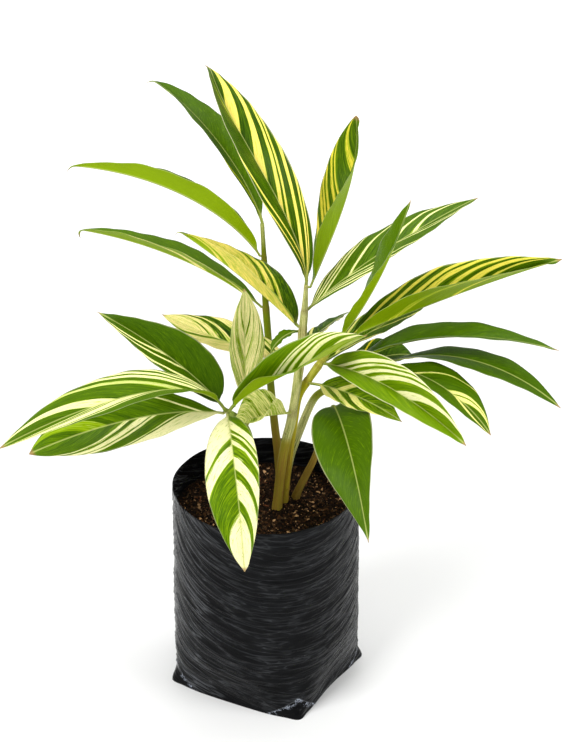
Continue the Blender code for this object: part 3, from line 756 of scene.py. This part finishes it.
def ear_crease(azimuth, height):
    """The fold over a base corner: how close this place is to its ridge, and if it lies below."""
    away = corner_distance(azimuth)
    ridge = FOLD_HEIGHT * (1 - away / FOLD_REACH)
    if ridge <= 0:
        return 0.0, 0.0
    near = math.exp(-((height - ridge) / (1.3 * MM)) ** 2) * smooth(ridge / (6 * MM))
    below = smooth((ridge - height) / (3 * MM))
    return near, below


def bag_mesh(settings):
    """The wrinkled film, open at the top, with two maps that the film's material reads."""
    rows, arounds, levels, aways, heights = [], [], [], [], []
    columns = [column_azimuth(column) for column in range(BAG_SIDES)]
    for row in range(BAG_ROWS + 1):
        height = RIM_HEIGHT * row / BAG_ROWS
        calm = smooth((RIM_HEIGHT - height) / (9 * MM)) * smooth(height / (5 * MM))
        hem = math.exp(-((RIM_HEIGHT - HEM_DROP - height) / HEM_HALF_WIDTH) ** 2)
        rim = smooth((height / RIM_HEIGHT - RIM_FROM) / (1 - RIM_FROM))
        ring = []
        for azimuth in columns:
            near, below = ear_crease(azimuth, height)
            out = wrinkle(settings, azimuth, height) * calm * (1 - 0.8 * below)
            x, y = math.cos(math.radians(azimuth)), math.sin(math.radians(azimuth))
            out += 1.0 * MM * near - 0.3 * MM * hem
            out += rim * RIM_BEND * noise.noise(Vector((2 * x, 2 * y, 0.5)))
            rise = rim * RIM_RISE * noise.noise(Vector((1.7 * y, 1.7 * x, 3)))
            radius = bag_radius(height, azimuth) + out - FILM_INSET
            ring.append(turned_point(radius, azimuth, height + rise))
        rows.append(ring)
        closed = list(zip(columns, ring)) + [(columns[0], ring[0])]
        arounds.append([RIM_RADIUS * math.radians(abs((azimuth - SIDE_FOLD + 180) % 360 - 180))
                        for azimuth, _ in closed])
        levels.append([wrinkle_level(settings, azimuth, point.z) for azimuth, point in closed])
        aways.append([corner_distance(azimuth) for azimuth, _ in closed])
        heights.append([point.z for _, point in closed])
    maps = {"folds": quad_corners(arounds, levels), "corner": quad_corners(aways, heights)}
    return loft_mesh("bag_film", rows, maps, lid=False)


class GINGER_OT_add_bag(bpy.types.Operator):
    """Add the wrinkled poly bag"""
    bl_idname = "ginger.add_bag"
    bl_label = "Add bag"

    def execute(self, context):
        settings = context.scene.ginger_bag
        bag = add_piece("bag_film", bag_mesh(settings), film_material(settings), "bag", "bag")
        wall = bag.modifiers.new("film", "SOLIDIFY")
        wall.thickness = settings.film
        wall.offset = -1
        return {"FINISHED"}


# Soil
def soil_material(settings):
    material, tree, shader = new_material("moist_soil", 0.95, 0.1)
    colour = tuple(settings.colour)
    where = object_coords(tree)
    coarse = noise_value(where, 70.0, 6.0, 0.7)
    fine = noise_value(where, 260.0, 4.0, 0.7)
    shade = coarse.step(0.35, 0.7).mix(scaled(colour, 0.15), colour)
    fine.step(0.56, 0.72).mix(shade, scaled(colour, 3.0)).into(shader.inputs["Base Color"])
    bump(coarse + fine, 1.0, 0.005, shader)
    return material


def litter_material(name, dark, pale):
    """Crumbs or chips: each takes its own tone from its tone attribute."""
    material, tree, shader = new_material(name, 0.85, 0.1)
    tone = tree.nodes.new("ShaderNodeAttribute")
    tone.attribute_name = "tone"
    grain = noise_value(object_coords(tree), 600.0, 4.0, 0.7)
    value = Value(tree, tone.outputs["Fac"]) + (grain - 0.5) * 0.8
    value.step(0.2, 1.0).mix(dark, pale).into(shader.inputs["Base Color"])
    bump(grain, 0.6, 0.0006, shader)
    return material


def soil_height(x, y):
    relief = 1.5 * noise.noise(Vector((x * 30, y * 30, 2.0)))
    relief += 1.1 * noise.noise(Vector((x * 95, y * 95, 5.0)))
    relief += 0.7 * noise.noise(Vector((x * 260, y * 260, 8.0)))
    return SOIL_TOP + relief * MM


def soil_point(height, share, azimuth):
    reach = body_radius(height, azimuth) - SOIL_INSET - SOIL_FOOT * (1 - smooth(height / FOOT_HEIGHT))
    return turned_point(reach * share, azimuth, height)


def soil_top_point(share, azimuth):
    """A point on the uneven top of the soil, which rises a little at the wall."""
    point = soil_point(SOIL_TOP, share, azimuth)
    point.z = soil_height(point.x, point.y) + WALL_RISE * smooth((share - WALL_SHARE) / (1 - WALL_SHARE))
    return point


def soil_mesh():
    rings = []
    for level in range(SOIL_LEVELS):
        height = SOIL_FOOT + (SOIL_TOP - SOIL_FOOT) * level / SOIL_LEVELS
        rings.append([soil_point(height, 1.0, 360 * i / SOIL_SIDES) for i in range(SOIL_SIDES)])
    for index in range(SOIL_RINGS):
        share = 1 - index / SOIL_RINGS
        rings.append([soil_top_point(share, 360 * i / SOIL_SIDES) for i in range(SOIL_SIDES)])
    return loft_mesh("soil_bed", rings, {})


def scatter_tree(name):
    """Small broken lumps spread over a surface. Inputs: density, smallest and largest size, seed."""
    tree = bpy.data.node_groups.new(name, "GeometryNodeTree")
    tree.is_modifier = True
    inputs = (("Surface", "NodeSocketGeometry"), ("Density", "NodeSocketFloat"),
              ("Smallest", "NodeSocketVector"), ("Largest", "NodeSocketVector"),
              ("Seed", "NodeSocketInt"), ("Material", "NodeSocketMaterial"))
    for title, kind in inputs:
        tree.interface.new_socket(name=title, in_out="INPUT", socket_type=kind)
    tree.interface.new_socket(name="Litter", in_out="OUTPUT", socket_type="NodeSocketGeometry")
    source = tree.nodes.new("NodeGroupInput")
    result = tree.nodes.new("NodeGroupOutput")

    def node(kind, **links):
        made = tree.nodes.new(kind)
        for socket, value in links.items():
            plug(tree, value, made.inputs[socket.replace("_", " ")])
        return made

    def random_vector(low, high, seed):
        made = node("FunctionNodeRandomValue", Seed=seed)
        made.data_type = "FLOAT_VECTOR"
        plug(tree, low, made.inputs[0])
        plug(tree, high, made.inputs[1])
        return made.outputs[0]

    seed = source.outputs["Seed"]
    spread = node("GeometryNodeDistributePointsOnFaces", Mesh=source.outputs["Surface"],
                  Density=source.outputs["Density"], Seed=seed)
    lump = node("GeometryNodeMeshIcoSphere", Radius=0.5, Subdivisions=1)
    uneven = random_vector((-LUMP_UNEVEN,) * 3, (LUMP_UNEVEN,) * 3, 0)
    broken = node("GeometryNodeSetPosition", Geometry=lump.outputs[0], Offset=uneven)
    turn = random_vector((-LUMP_TILT, -LUMP_TILT, 0.0), (LUMP_TILT, LUMP_TILT, LUMP_SPIN), seed)
    size = random_vector(source.outputs["Smallest"], source.outputs["Largest"], SIZE_SEED)
    placed = node("GeometryNodeInstanceOnPoints", Points=spread.outputs[0], Instance=broken.outputs[0],
                  Rotation=turn, Scale=size)
    tone = node("FunctionNodeRandomValue", Seed=TONE_SEED)
    stored = node("GeometryNodeStoreNamedAttribute", Geometry=placed.outputs[0], Name="tone",
                  Value=tone.outputs[1])
    stored.domain = "INSTANCE"
    real = node("GeometryNodeRealizeInstances", Geometry=stored.outputs[0])
    dressed = node("GeometryNodeSetMaterial", Geometry=real.outputs[0],
                   Material=source.outputs["Material"])
    tree.links.new(dressed.outputs[0], result.inputs[0])
    return tree


def scatter(name, tree, material, reach, **values):
    """Spread lumps over the soil's top, out to a share of its radius, and return them as a plain mesh."""
    base = bpy.data.objects.new(name + "_base", scatter_surface(reach))
    bpy.context.scene.collection.objects.link(base)
    modifier = base.modifiers.new("litter", "NODES")
    modifier.node_group = tree
    sockets = {item.name: item.identifier for item in tree.interface.items_tree
               if item.in_out == "INPUT"}
    modifier[sockets["Material"]] = material
    for title, value in values.items():
        modifier[sockets[title]] = value
    evaluated = base.evaluated_get(bpy.context.evaluated_depsgraph_get())
    mesh = bpy.data.meshes.new_from_object(evaluated)
    mesh.name = name
    bpy.data.objects.remove(base, do_unlink=True)
    if not mesh.polygons:
        raise RuntimeError(name + " came out empty")
    mesh.shade_flat()
    return mesh


def scatter_surface(reach):
    """The part of the soil's top that carries litter, clear of the bag's wall."""
    mesh = bmesh.new()
    rows = []
    for index in range(1, LITTER_RINGS + 1):
        ring = []
        for i in range(LITTER_SIDES):
            point = soil_top_point(reach * index / LITTER_RINGS, 360 * i / LITTER_SIDES)
            point.z += LITTER_LIFT
            ring.append(mesh.verts.new(point))
        rows.append(ring)
    for inner, outer in zip(rows, rows[1:]):
        for column in range(LITTER_SIDES):
            beside = (column + 1) % LITTER_SIDES
            mesh.faces.new((inner[column], outer[column], outer[beside], inner[beside]))
    data = bpy.data.meshes.new("soil_litter_base")
    mesh.to_mesh(data)
    mesh.free()
    return data


class GINGER_OT_add_soil(bpy.types.Operator):
    """Add the soil with its crumbs and bark chips"""
    bl_idname = "ginger.add_soil"
    bl_label = "Add soil"

    def execute(self, context):
        settings = context.scene.ginger_soil
        colour, bark = tuple(settings.colour), tuple(settings.bark)
        add_piece("soil_bed", soil_mesh(), soil_material(settings), "soil", "soil")
        tree = scatter_tree("soil_litter")
        crumb = litter_material("soil_crumbs", scaled(colour, 0.15), scaled(colour, 3.0))
        chip = litter_material("bark_chips", scaled(bark, 0.10), bark)
        twig = litter_material("red_twigs", (0.03, 0.009, 0.004), (0.17, 0.055, 0.022))
        materials = (crumb, chip, chip, twig)
        for number, (name, setting, reach, smallest, largest) in enumerate(LITTER):
            material = materials[number]
            litter = scatter(name, tree, material, reach, Density=getattr(settings, setting),
                             Seed=settings.seed + number, Smallest=scaled(smallest, MM),
                             Largest=scaled(largest, MM))
            add_piece(name, litter, material, "soil")
        return {"FINISHED"}


# Stems
def stem_material(name, green, settings):
    """A cane: streaked green, tan low down, with cream stripes where its sheath is striped."""
    material, tree, shader = new_material(name + "_sheath", 0.5, 0.08)
    around, along = map_values(tree, "wrap")
    striped, lip = map_values(tree, "sheath")
    where = object_coords(tree)
    fibres = plant_fibres(tree, Vein=around, Along=along * 4.0, Seed=3.0)
    green = scaled(green, settings.brightness)
    low = parts_of(where)[2].step(0.34, 0.24)
    colour = (low * (fibres["Wobble"] + 0.45)).clamped().mix(green, tuple(settings.stem))
    colour = (fibres["Streak"].step(0.46, 0.58) * 0.35).mix(colour, scaled(green, 1.7))
    stripes = fibres["Streak"].step(0.44, 0.53).mix((0.11, 0.17, 0.006), (0.68, 0.65, 0.28))
    colour = striped.mix(colour, stripes)
    spots = noise_value(where, 160.0, 3.0, 0.6).step(0.64, 0.72)
    colour = (spots * 0.5).mix(colour, (0.12, 0.05, 0.02))
    (lip * 0.5).mix(colour, (0.16, 0.07, 0.03)).into(shader.inputs["Base Color"])
    bump(fibres["Relief"], 0.5, 0.0005, shader)
    return material


def curve_through(points, steps):
    """Points on a smooth curve through the given points, with the share along them."""
    path = [points[0] * 2 - points[1]] + points + [points[-1] * 2 - points[-2]]
    made = []
    for index in range(1, len(path) - 2):
        a, b, c, d = path[index - 1:index + 3]
        for step in range(steps):
            t = step / steps
            point = 0.5 * (2 * b + (c - a) * t + (2 * a - 5 * b + 4 * c - d) * t * t
                           + (3 * b - a - 3 * c + d) * t ** 3)
            made.append(((index - 1 + t) / (len(points) - 1), point))
    made.append((1.0, points[-1]))
    return made


def leaf_joints(stem_name):
    """The shares along a stem where its leaves' sheaths end."""
    return sorted(leaf_start(spec)[1] for spec in LEAVES.values()
                  if spec["on"] == stem_name and "near" in spec)


def stem_mesh(name, spec):
    """A tapering cane, thicker where a leaf's sheath wraps it and at its foot."""
    points = [Vector(point) * MM for point in spec["path"]]
    joints = leaf_joints(name)
    low, high, strength = spec["striped"]
    rings, alongs, stripes, lips = [], [], [], []
    length = 0.0
    samples = curve_through(points, CURVE_STEPS)
    for index, (share, point) in enumerate(samples):
        before = samples[max(index - 1, 0)][1]
        after = samples[min(index + 1, len(samples) - 1)][1]
        tangent = (after - before).normalized()
        length += (point - before).length
        first = (Vector((0, 1, 0)) - tangent * tangent.y).normalized()
        second = tangent.cross(first)
        radius = (spec["radius"][0] + (spec["radius"][1] - spec["radius"][0]) * share) * MM
        lip = 0.0
        for joint in joints:
            gap = share - joint
            if -SHEATH_SHARE < gap <= 0:
                radius += 0.5 * MM * (1 + gap / SHEATH_SHARE)
            lip = max(lip, math.exp(-(gap / LIP_SHARE) ** 2))
        radius += 0.7 * MM * smooth(1 - (point.z - SOIL_TOP) / FOOT_RISE)
        radius += (CANE_END_RADIUS - radius) * smooth((share - CANE_END_FROM) / (1 - CANE_END_FROM))
        ring = []
        for side in range(CANE_SIDES):
            angle = math.tau * side / CANE_SIDES
            ribbed = radius * (1 + 0.035 * math.cos(2 * angle + 9 * share) + 0.012 * math.cos(9 * angle))
            ring.append(point + (first * math.cos(angle) + second * math.sin(angle)) * ribbed)
        rings.append(ring)
        height = point.z / MM
        inside = smooth((height - low) / STRIPES_FADE) * smooth((high - height) / STRIPES_FADE)
        for values, value in ((alongs, length), (stripes, strength * inside), (lips, 0.75 * lip)):
            values.append([value] * (CANE_SIDES + 1))
    around = np.tile(np.linspace(0.0, 1.0, CANE_SIDES + 1), (len(rings), 1))
    maps = {"wrap": quad_corners(around, alongs), "sheath": quad_corners(stripes, lips)}
    return loft_mesh(name + "_cane", rings, maps)


class GINGER_OT_add_stems(bpy.types.Operator):
    """Add the stems with their sheaths"""
    bl_idname = "ginger.add_stems"
    bl_label = "Add stems"

    def execute(self, context):
        for name, spec in STEMS.items():
            material = stem_material(name, spec["green"], context.scene.ginger_plant)
            add_piece(name + "_cane", stem_mesh(name, spec), material, "stem", name)
        return {"FINISHED"}


# Leaves
def leaf_half_width(share, spec):
    """Half of the blade's width at a share of the leaf's length."""
    stalk = spec.get("stalk", 0.02)
    belly = spec.get("belly", 0.45)
    thinning = smooth((share - THREAD_FROM) / (1 - THREAD_FROM))
    narrow = STALK_HALF_WIDTH + (THREAD_HALF_WIDTH - STALK_HALF_WIDTH) * thinning
    along = min(max((share - stalk) / (1 - stalk), 0.0), 1.0)
    if not 0 < along < 1:
        return narrow
    rising = (along / belly) ** (OUTLINE_SHARPNESS * belly)
    falling = ((1 - along) / (1 - belly)) ** (OUTLINE_SHARPNESS * (1 - belly))
    return max(spec["width"] * MM / 2 * rising * falling, narrow)


def leaf_start(spec):
    """The leaf's first point, the share along its stem, and a point inside the stem."""
    stem = STEMS[spec["on"]]
    path = [Vector(point) * MM for point in stem["path"]]
    if "near" not in spec:
        ahead = (path[-1] - path[-2]).normalized()
        return path[-1] + ahead * END_CLEARANCE, 1.0, path[-1] - ahead * 2.5 * MM
    near = Vector(spec["near"]) * MM
    best = None
    for index in range(len(path) - 1):
        run = path[index + 1] - path[index]
        along = min(max((near - path[index]).dot(run) / run.length_squared, 0.0), 1.0)
        axis = path[index] + run * along
        if best is None or (near - axis).length < best[0]:
            best = ((near - axis).length, axis, (index + along) / (len(path) - 1))
    start_radius, end_radius = stem["radius"]
    radius = (start_radius + (end_radius - start_radius) * best[2]) * MM
    outward = (near - best[1]).normalized()
    return best[1] + outward * (radius + STALK_CLEARANCE), best[2], best[1] + outward * radius * 0.3


def leaf_frames(spec, stations):
    """Along the midrib: share, point, and the directions right, up and ahead."""
    start, _, inside = leaf_start(spec)
    point = np.array(start)
    step = spec["length"] * MM / stations
    turn, dip = spec.get("hook", (0, 0))
    frames = []
    previous = None
    for station in range(stations + 1):
        share = station / stations
        tip = smooth((share - HOOK_FROM) / (1 - HOOK_FROM))
        pitch = math.radians(spec["rise"] + (spec["droop"] - spec["rise"]) * share ** spec["bend"]
                             + dip * tip)
        heading = math.radians(spec["heading"] + spec["sweep"] * share + turn * tip)
        tangent = np.array((math.cos(pitch) * math.cos(heading), math.cos(pitch) * math.sin(heading),
                            math.sin(pitch)))
        if previous is not None:
            point = point + (tangent + previous) / 2 * step
        previous = tangent
        right = np.array((math.sin(heading), -math.cos(heading), 0.0))
        up = np.cross(right, tangent)
        first, last = spec["roll"]
        roll = math.radians(first + (last - first) * smooth(share))
        frames.append((share, point, math.cos(roll) * right + math.sin(roll) * up,
                       math.cos(roll) * up - math.sin(roll) * right, tangent))
    _, point, right, up, tangent = frames[0]
    outward = (start - inside).normalized()
    turn = Vector(tangent).rotation_difference(outward)
    lead = []
    for amount, place in ((1.0, inside), (0.6, inside.lerp(start, 0.7))):
        turned = turn.copy()
        turned.angle = turn.angle * amount
        lead.append((0.0, np.array(place), np.array(turned @ Vector(right)), np.array(turned @ Vector(up)),
                     tangent))
    return lead + frames


def blade_fold(spec, share, side):
    """The angle, in degrees, that the left (side 0) or right (side 1) half is folded up."""
    start, end = spec["fold"][side], spec.get("fold_end", spec["fold"])[side]
    first, last = spec.get("ease", (0.3, 0.6))
    return start + (end - start) * smooth((share - first) / (last - first))


def blade_profile(spec, columns, half_width, share, settings, phase):
    """Beside and above the midrib for each column of a blade, from its left to its right edge."""
    openness = smooth(half_width / (FLAT_BELOW * spec["width"] * MM / 2))
    cup = math.radians(spec.get("cup", 0)) * openness
    arch = math.radians(0 if cup else 9) * openness
    beside, above = np.zeros(len(columns)), np.zeros(len(columns))
    middle = len(columns) // 2
    for side in (-1, 1):
        fold = math.radians(blade_fold(spec, share, (side + 1) // 2)) * openness
        x = y = 0.0
        for step in range(1, middle + 1):
            index = middle + side * step
            reach, last = abs(columns[index]), abs(columns[index - side])
            centre = (reach + last) / 2
            angle = fold + cup * centre + arch * (1 - 2 * centre)
            x += math.cos(angle) * (reach - last)
            y += math.sin(angle) * (reach - last)
            ripple = math.sin(math.tau * share * (3.2 if side < 0 else 2.6) + phase * side)
            ripple += 0.5 * math.sin(math.tau * share * (7.0 if side < 0 else 8.2) + phase * 2)
            lift = settings.wave * ripple * reach ** 2.2 * openness * math.sin(math.pi * share) ** 0.5
            beside[index] = side * x * half_width
            above[index] = y * half_width + lift
    return beside, above


def vein_shift(across):
    """How far a vein has run along the leaf at a share of the way to the edge, up to 1."""
    return 0.6 * across + 0.4 * across ** 2.6


def leaf_mesh(name, spec, look, settings, number):
    columns = np.array([-c for c in reversed(HALF_COLUMNS[1:])] + list(HALF_COLUMNS))
    stations = STATIONS if spec["length"] > SMALL_LEAF else STATIONS // 2
    frames = leaf_frames(spec, stations)
    back = columns[-2:0:-1]
    loop = np.concatenate((columns, back, columns[:1]))
    rings, shares, veins, widths = [], [], [], []
    for share, point, right, up, _ in frames:
        half_width = leaf_half_width(share, spec)
        beside, above = blade_profile(spec, columns, half_width, share, settings, 1.7 * number)
        openness = smooth((half_width - STALK_HALF_WIDTH) / (5 * MM)) * (share < 0.999)
        x = columns * half_width
        taper = 1 - 0.8 * share
        round_part = np.sqrt(np.clip(1 - columns ** 2, 0, 1)) * min(1.15 * MM, half_width * 0.8) * (
            1 - 0.6 * share)
        leaf_part = settings.blade / 2 * np.clip((1 - np.abs(columns)) * 12, 0.0, 1.0)
        rib = settings.midrib * taper * np.exp(-(x / (1.5 * MM * (0.35 + 0.65 * taper))) ** 2)
        groove = 0.35 * rib
        top = (1 - openness) * round_part + openness * (leaf_part - groove)
        low = (1 - openness) * round_part + openness * (leaf_part + rib)
        slope_x, slope_y = np.gradient(beside), np.gradient(above)
        size = np.hypot(slope_x, slope_y) + 1e-12
        normal_x, normal_y = -slope_y / size, slope_x / size
        top_x, top_y = beside + normal_x * top, above + normal_y * top
        low_x, low_y = beside - normal_x * low, above - normal_y * low
        ring_x = np.concatenate((top_x, low_x[-2:0:-1]))
        ring_y = np.concatenate((top_y, low_y[-2:0:-1]))
        rings.append(point + ring_x[:, None] * right + ring_y[:, None] * up)
        shares.append(np.full(len(loop), share))
        veins.append(share - look["slant"] * vein_shift(np.abs(loop)))
        widths.append(loop * half_width)
    shares = np.array(shares)
    across = np.tile(loop, (len(frames), 1))
    maps = {"blade": quad_corners(across, shares), "vein": quad_corners(veins, widths),
            "face": quad_corners(shares * 0, shares * 0)}
    maps["face"][:, len(columns) - 1:, :, 0] = 1.0
    return loft_mesh(name + "_blade", rings, maps)


def leaf_material(name, look, settings, number):
    """A blade: its bands, fine streaks and thin lines give one value, which the palette colours."""
    material, tree, shader = new_material(name + "_blade", 0.38, 0.06)
    across, share = map_values(tree, "blade")
    vein, beside = map_values(tree, "vein")
    below, _ = map_values(tree, "face")
    fibres = plant_fibres(tree, Vein=vein, Along=share, Seed=number * 3.7)
    streak = fibres["Streak"] - 0.5
    moved = vein + (fibres["Wobble"] - 0.5) * 0.05 + streak * look.get("fray", 0.05)
    left, right = (band_ramp(moved, look.get(side, ()), look["ground"]) for side in ("left", "right"))
    value = ((across > 0.0).mix(left, right) + streak * (4.0 * look["streaks"])).clamped()
    value = value + (0.42 - value) * look.get("lines", 0.7) * fibres["Lines"]
    cream, light = look["cream"], tuple(settings.light)
    between = tuple(0.5 * (a + b) for a, b in zip(light, cream))
    palette = tree.nodes.new("ShaderNodeValToRGB")
    elements = palette.color_ramp.elements
    elements[0].color = (*settings.dark, 1.0)
    elements[1].position = 1.0
    elements[1].color = (*(min(c * 1.04, 1.0) for c in cream), 1.0)
    for place, colour in ((0.32, settings.green), (0.55, light), (0.72, between), (0.88, cream)):
        elements.new(place).color = (*colour, 1.0)
    value.into(palette.inputs[0])
    # Undersides off the cream bands take the underside green: partly their own olive, partly painted light
    # shining through the blade.
    marks = ((below * value.step(0.85, 0.6), 0.55, tuple(settings.backlit_underside)),
             (abs(beside).step(1.3 * MM, 0.5 * MM), look.get("rib", 0.6), (0.45, 0.50, 0.14)),
             (abs(across).step(0.95, 0.985), look.get("edge", 0.25), (0.80, 0.76, 0.45)),
             (share.step(0.07, 0.02), 0.6, (0.30, 0.33, 0.07)),
             (share.step(0.965, 0.99), 0.8, (0.30, 0.16, 0.07)))
    colour = Value(tree, palette.outputs[0])
    for place, strength, tint in marks:
        colour = (place * strength).mix(colour, tint)
    colour.into(shader.inputs["Base Color"])
    (below * 0.14 + (fibres["Relief"] * 0.16 + 0.28)).into(shader.inputs["Roughness"])
    bump(fibres["Relief"], 0.35, 0.0004, shader)
    return material


class GINGER_OT_add_leaves(bpy.types.Operator):
    """Add the variegated leaves"""
    bl_idname = "ginger.add_leaves"
    bl_label = "Add leaves"

    def execute(self, context):
        settings = context.scene.ginger_plant
        for number, (name, spec) in enumerate(LEAVES.items()):
            look = MARKINGS[name]
            slot = PLAIN_SLOT if name in PLAIN_LEAVES else STRIPED_SLOT
            add_piece(name + "_blade", leaf_mesh(name, spec, look, settings, number),
                      leaf_material(name, look, settings, number), slot, name)
        return {"FINISHED"}


# Stage
VIEW_TARGET = Vector((0.018, 0.0, 0.372))
VIEW_PITCH = 28.0
VIEW_DISTANCE = 2.0
LENS = 93.64
SENSOR = 36.0
FLOOR_HALF_SIDE = 8.0
FLOOR_GLOW = 0.5
GLOW_FROM = 0.5
GLOW_TO = 2.2
WORLD_LIGHT = 0.55


def add_area_light(name, place, target, size, power):
    light = bpy.data.lights.new(name, "AREA")
    light.shape = "RECTANGLE"
    light.size, light.size_y = size
    light.energy = power
    obj = bpy.data.objects.new(name, light)
    obj.location = place
    obj.rotation_euler = (Vector(target) - Vector(place)).to_track_quat("-Z", "Y").to_euler()
    bpy.context.scene.collection.objects.link(obj)


class GINGER_OT_add_stage(bpy.types.Operator):
    """Add the plain floor, the soft studio lights and the camera"""
    bl_idname = "ginger.add_stage"
    bl_label = "Add stage"

    def execute(self, context):
        settings = context.scene.ginger_stage
        mesh = bmesh.new()
        bmesh.ops.create_grid(mesh, x_segments=1, y_segments=1, size=FLOOR_HALF_SIDE)
        data = bpy.data.meshes.new("floor")
        mesh.to_mesh(data)
        mesh.free()
        material, tree, shader = new_material("studio_floor", 0.9)
        where = object_coords(tree)
        mottle = noise_value(where, 0.7, 2.0)
        mottle.mix(scaled(settings.floor, 0.985), tuple(settings.floor)).into(shader.inputs["Base Color"])
        away = tree.nodes.new("ShaderNodeVectorMath")
        away.operation = "LENGTH"
        where.into(away.inputs[0])
        Value(tree, away.outputs["Value"]).step(GLOW_FROM, GLOW_TO).into(shader.inputs["Emission Color"])
        shader.inputs["Emission Strength"].default_value = FLOOR_GLOW
        data.materials.append(material)
        floor = bpy.data.objects.new("floor", data)
        context.scene.collection.objects.link(floor)
        world = bpy.data.worlds.new("studio")
        world.use_nodes = True
        background = world.node_tree.nodes["Background"]
        background.inputs["Color"].default_value = (1.0, 1.0, 1.0, 1.0)
        background.inputs["Strength"].default_value = WORLD_LIGHT
        context.scene.world = world
        context.scene.view_settings.view_transform = "Standard"
        add_area_light("key", (-1.6, -1.6, 2.4), (0, 0, 0.3), (1.6, 1.6), settings.key)
        add_area_light("fill", (2.0, -0.9, 1.3), (0, 0, 0.25), (1.2, 1.8), settings.fill)
        add_area_light("top", (0.3, 0.8, 2.6), (0, 0, 0.3), (1.6, 1.2), settings.fill)
        camera = bpy.data.cameras.new("view")
        camera.lens = LENS
        camera.sensor_fit = "VERTICAL"
        camera.sensor_height = SENSOR
        camera.clip_end = 50.0
        eye = bpy.data.objects.new("view", camera)
        pitch = math.radians(VIEW_PITCH)
        eye.location = VIEW_TARGET + VIEW_DISTANCE * Vector((0.0, -math.cos(pitch), math.sin(pitch)))
        eye.rotation_euler = (VIEW_TARGET - eye.location).to_track_quat("-Z", "Y").to_euler()
        context.scene.collection.objects.link(eye)
        context.scene.camera = eye
        return {"FINISHED"}


class GINGER_PT_panel(bpy.types.Panel):
    """Lists the operators and settings of the ginger plant"""
    bl_idname = "GINGER_PT_panel"
    bl_label = "Ginger plant"
    bl_space_type = "VIEW_3D"
    bl_region_type = "UI"
    bl_category = "Ginger"

    def draw(self, context):
        layout = self.layout
        for operator, group in (("ginger.add_bag", "ginger_bag"), ("ginger.add_soil", "ginger_soil"),
                                ("ginger.add_stems", "ginger_plant"), ("ginger.add_leaves", None),
                                ("ginger.add_stage", "ginger_stage")):
            layout.operator(operator)
            if group:
                settings = getattr(context.scene, group)
                for name in settings.__annotations__:
                    layout.prop(settings, name)


SETTINGS = {"ginger_bag": GingerBagSettings, "ginger_soil": GingerSoilSettings,
            "ginger_plant": GingerPlantSettings, "ginger_stage": GingerStageSettings}
CLASSES = (*SETTINGS.values(), GINGER_OT_add_bag, GINGER_OT_add_soil, GINGER_OT_add_stems,
           GINGER_OT_add_leaves, GINGER_OT_add_stage, GINGER_PT_panel)


def register():
    for cls in CLASSES:
        bpy.utils.register_class(cls)
    for name, cls in SETTINGS.items():
        setattr(bpy.types.Scene, name, PointerProperty(type=cls))


def unregister():
    for name in SETTINGS:
        delattr(bpy.types.Scene, name)
    for cls in reversed(CLASSES):
        bpy.utils.unregister_class(cls)


def main():
    register()
    bpy.ops.ginger.add_bag()
    bpy.ops.ginger.add_soil()
    bpy.ops.ginger.add_stems()
    bpy.ops.ginger.add_leaves()
    bpy.ops.ginger.add_stage()
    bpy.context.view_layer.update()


if __name__ == "__main__":
    main()
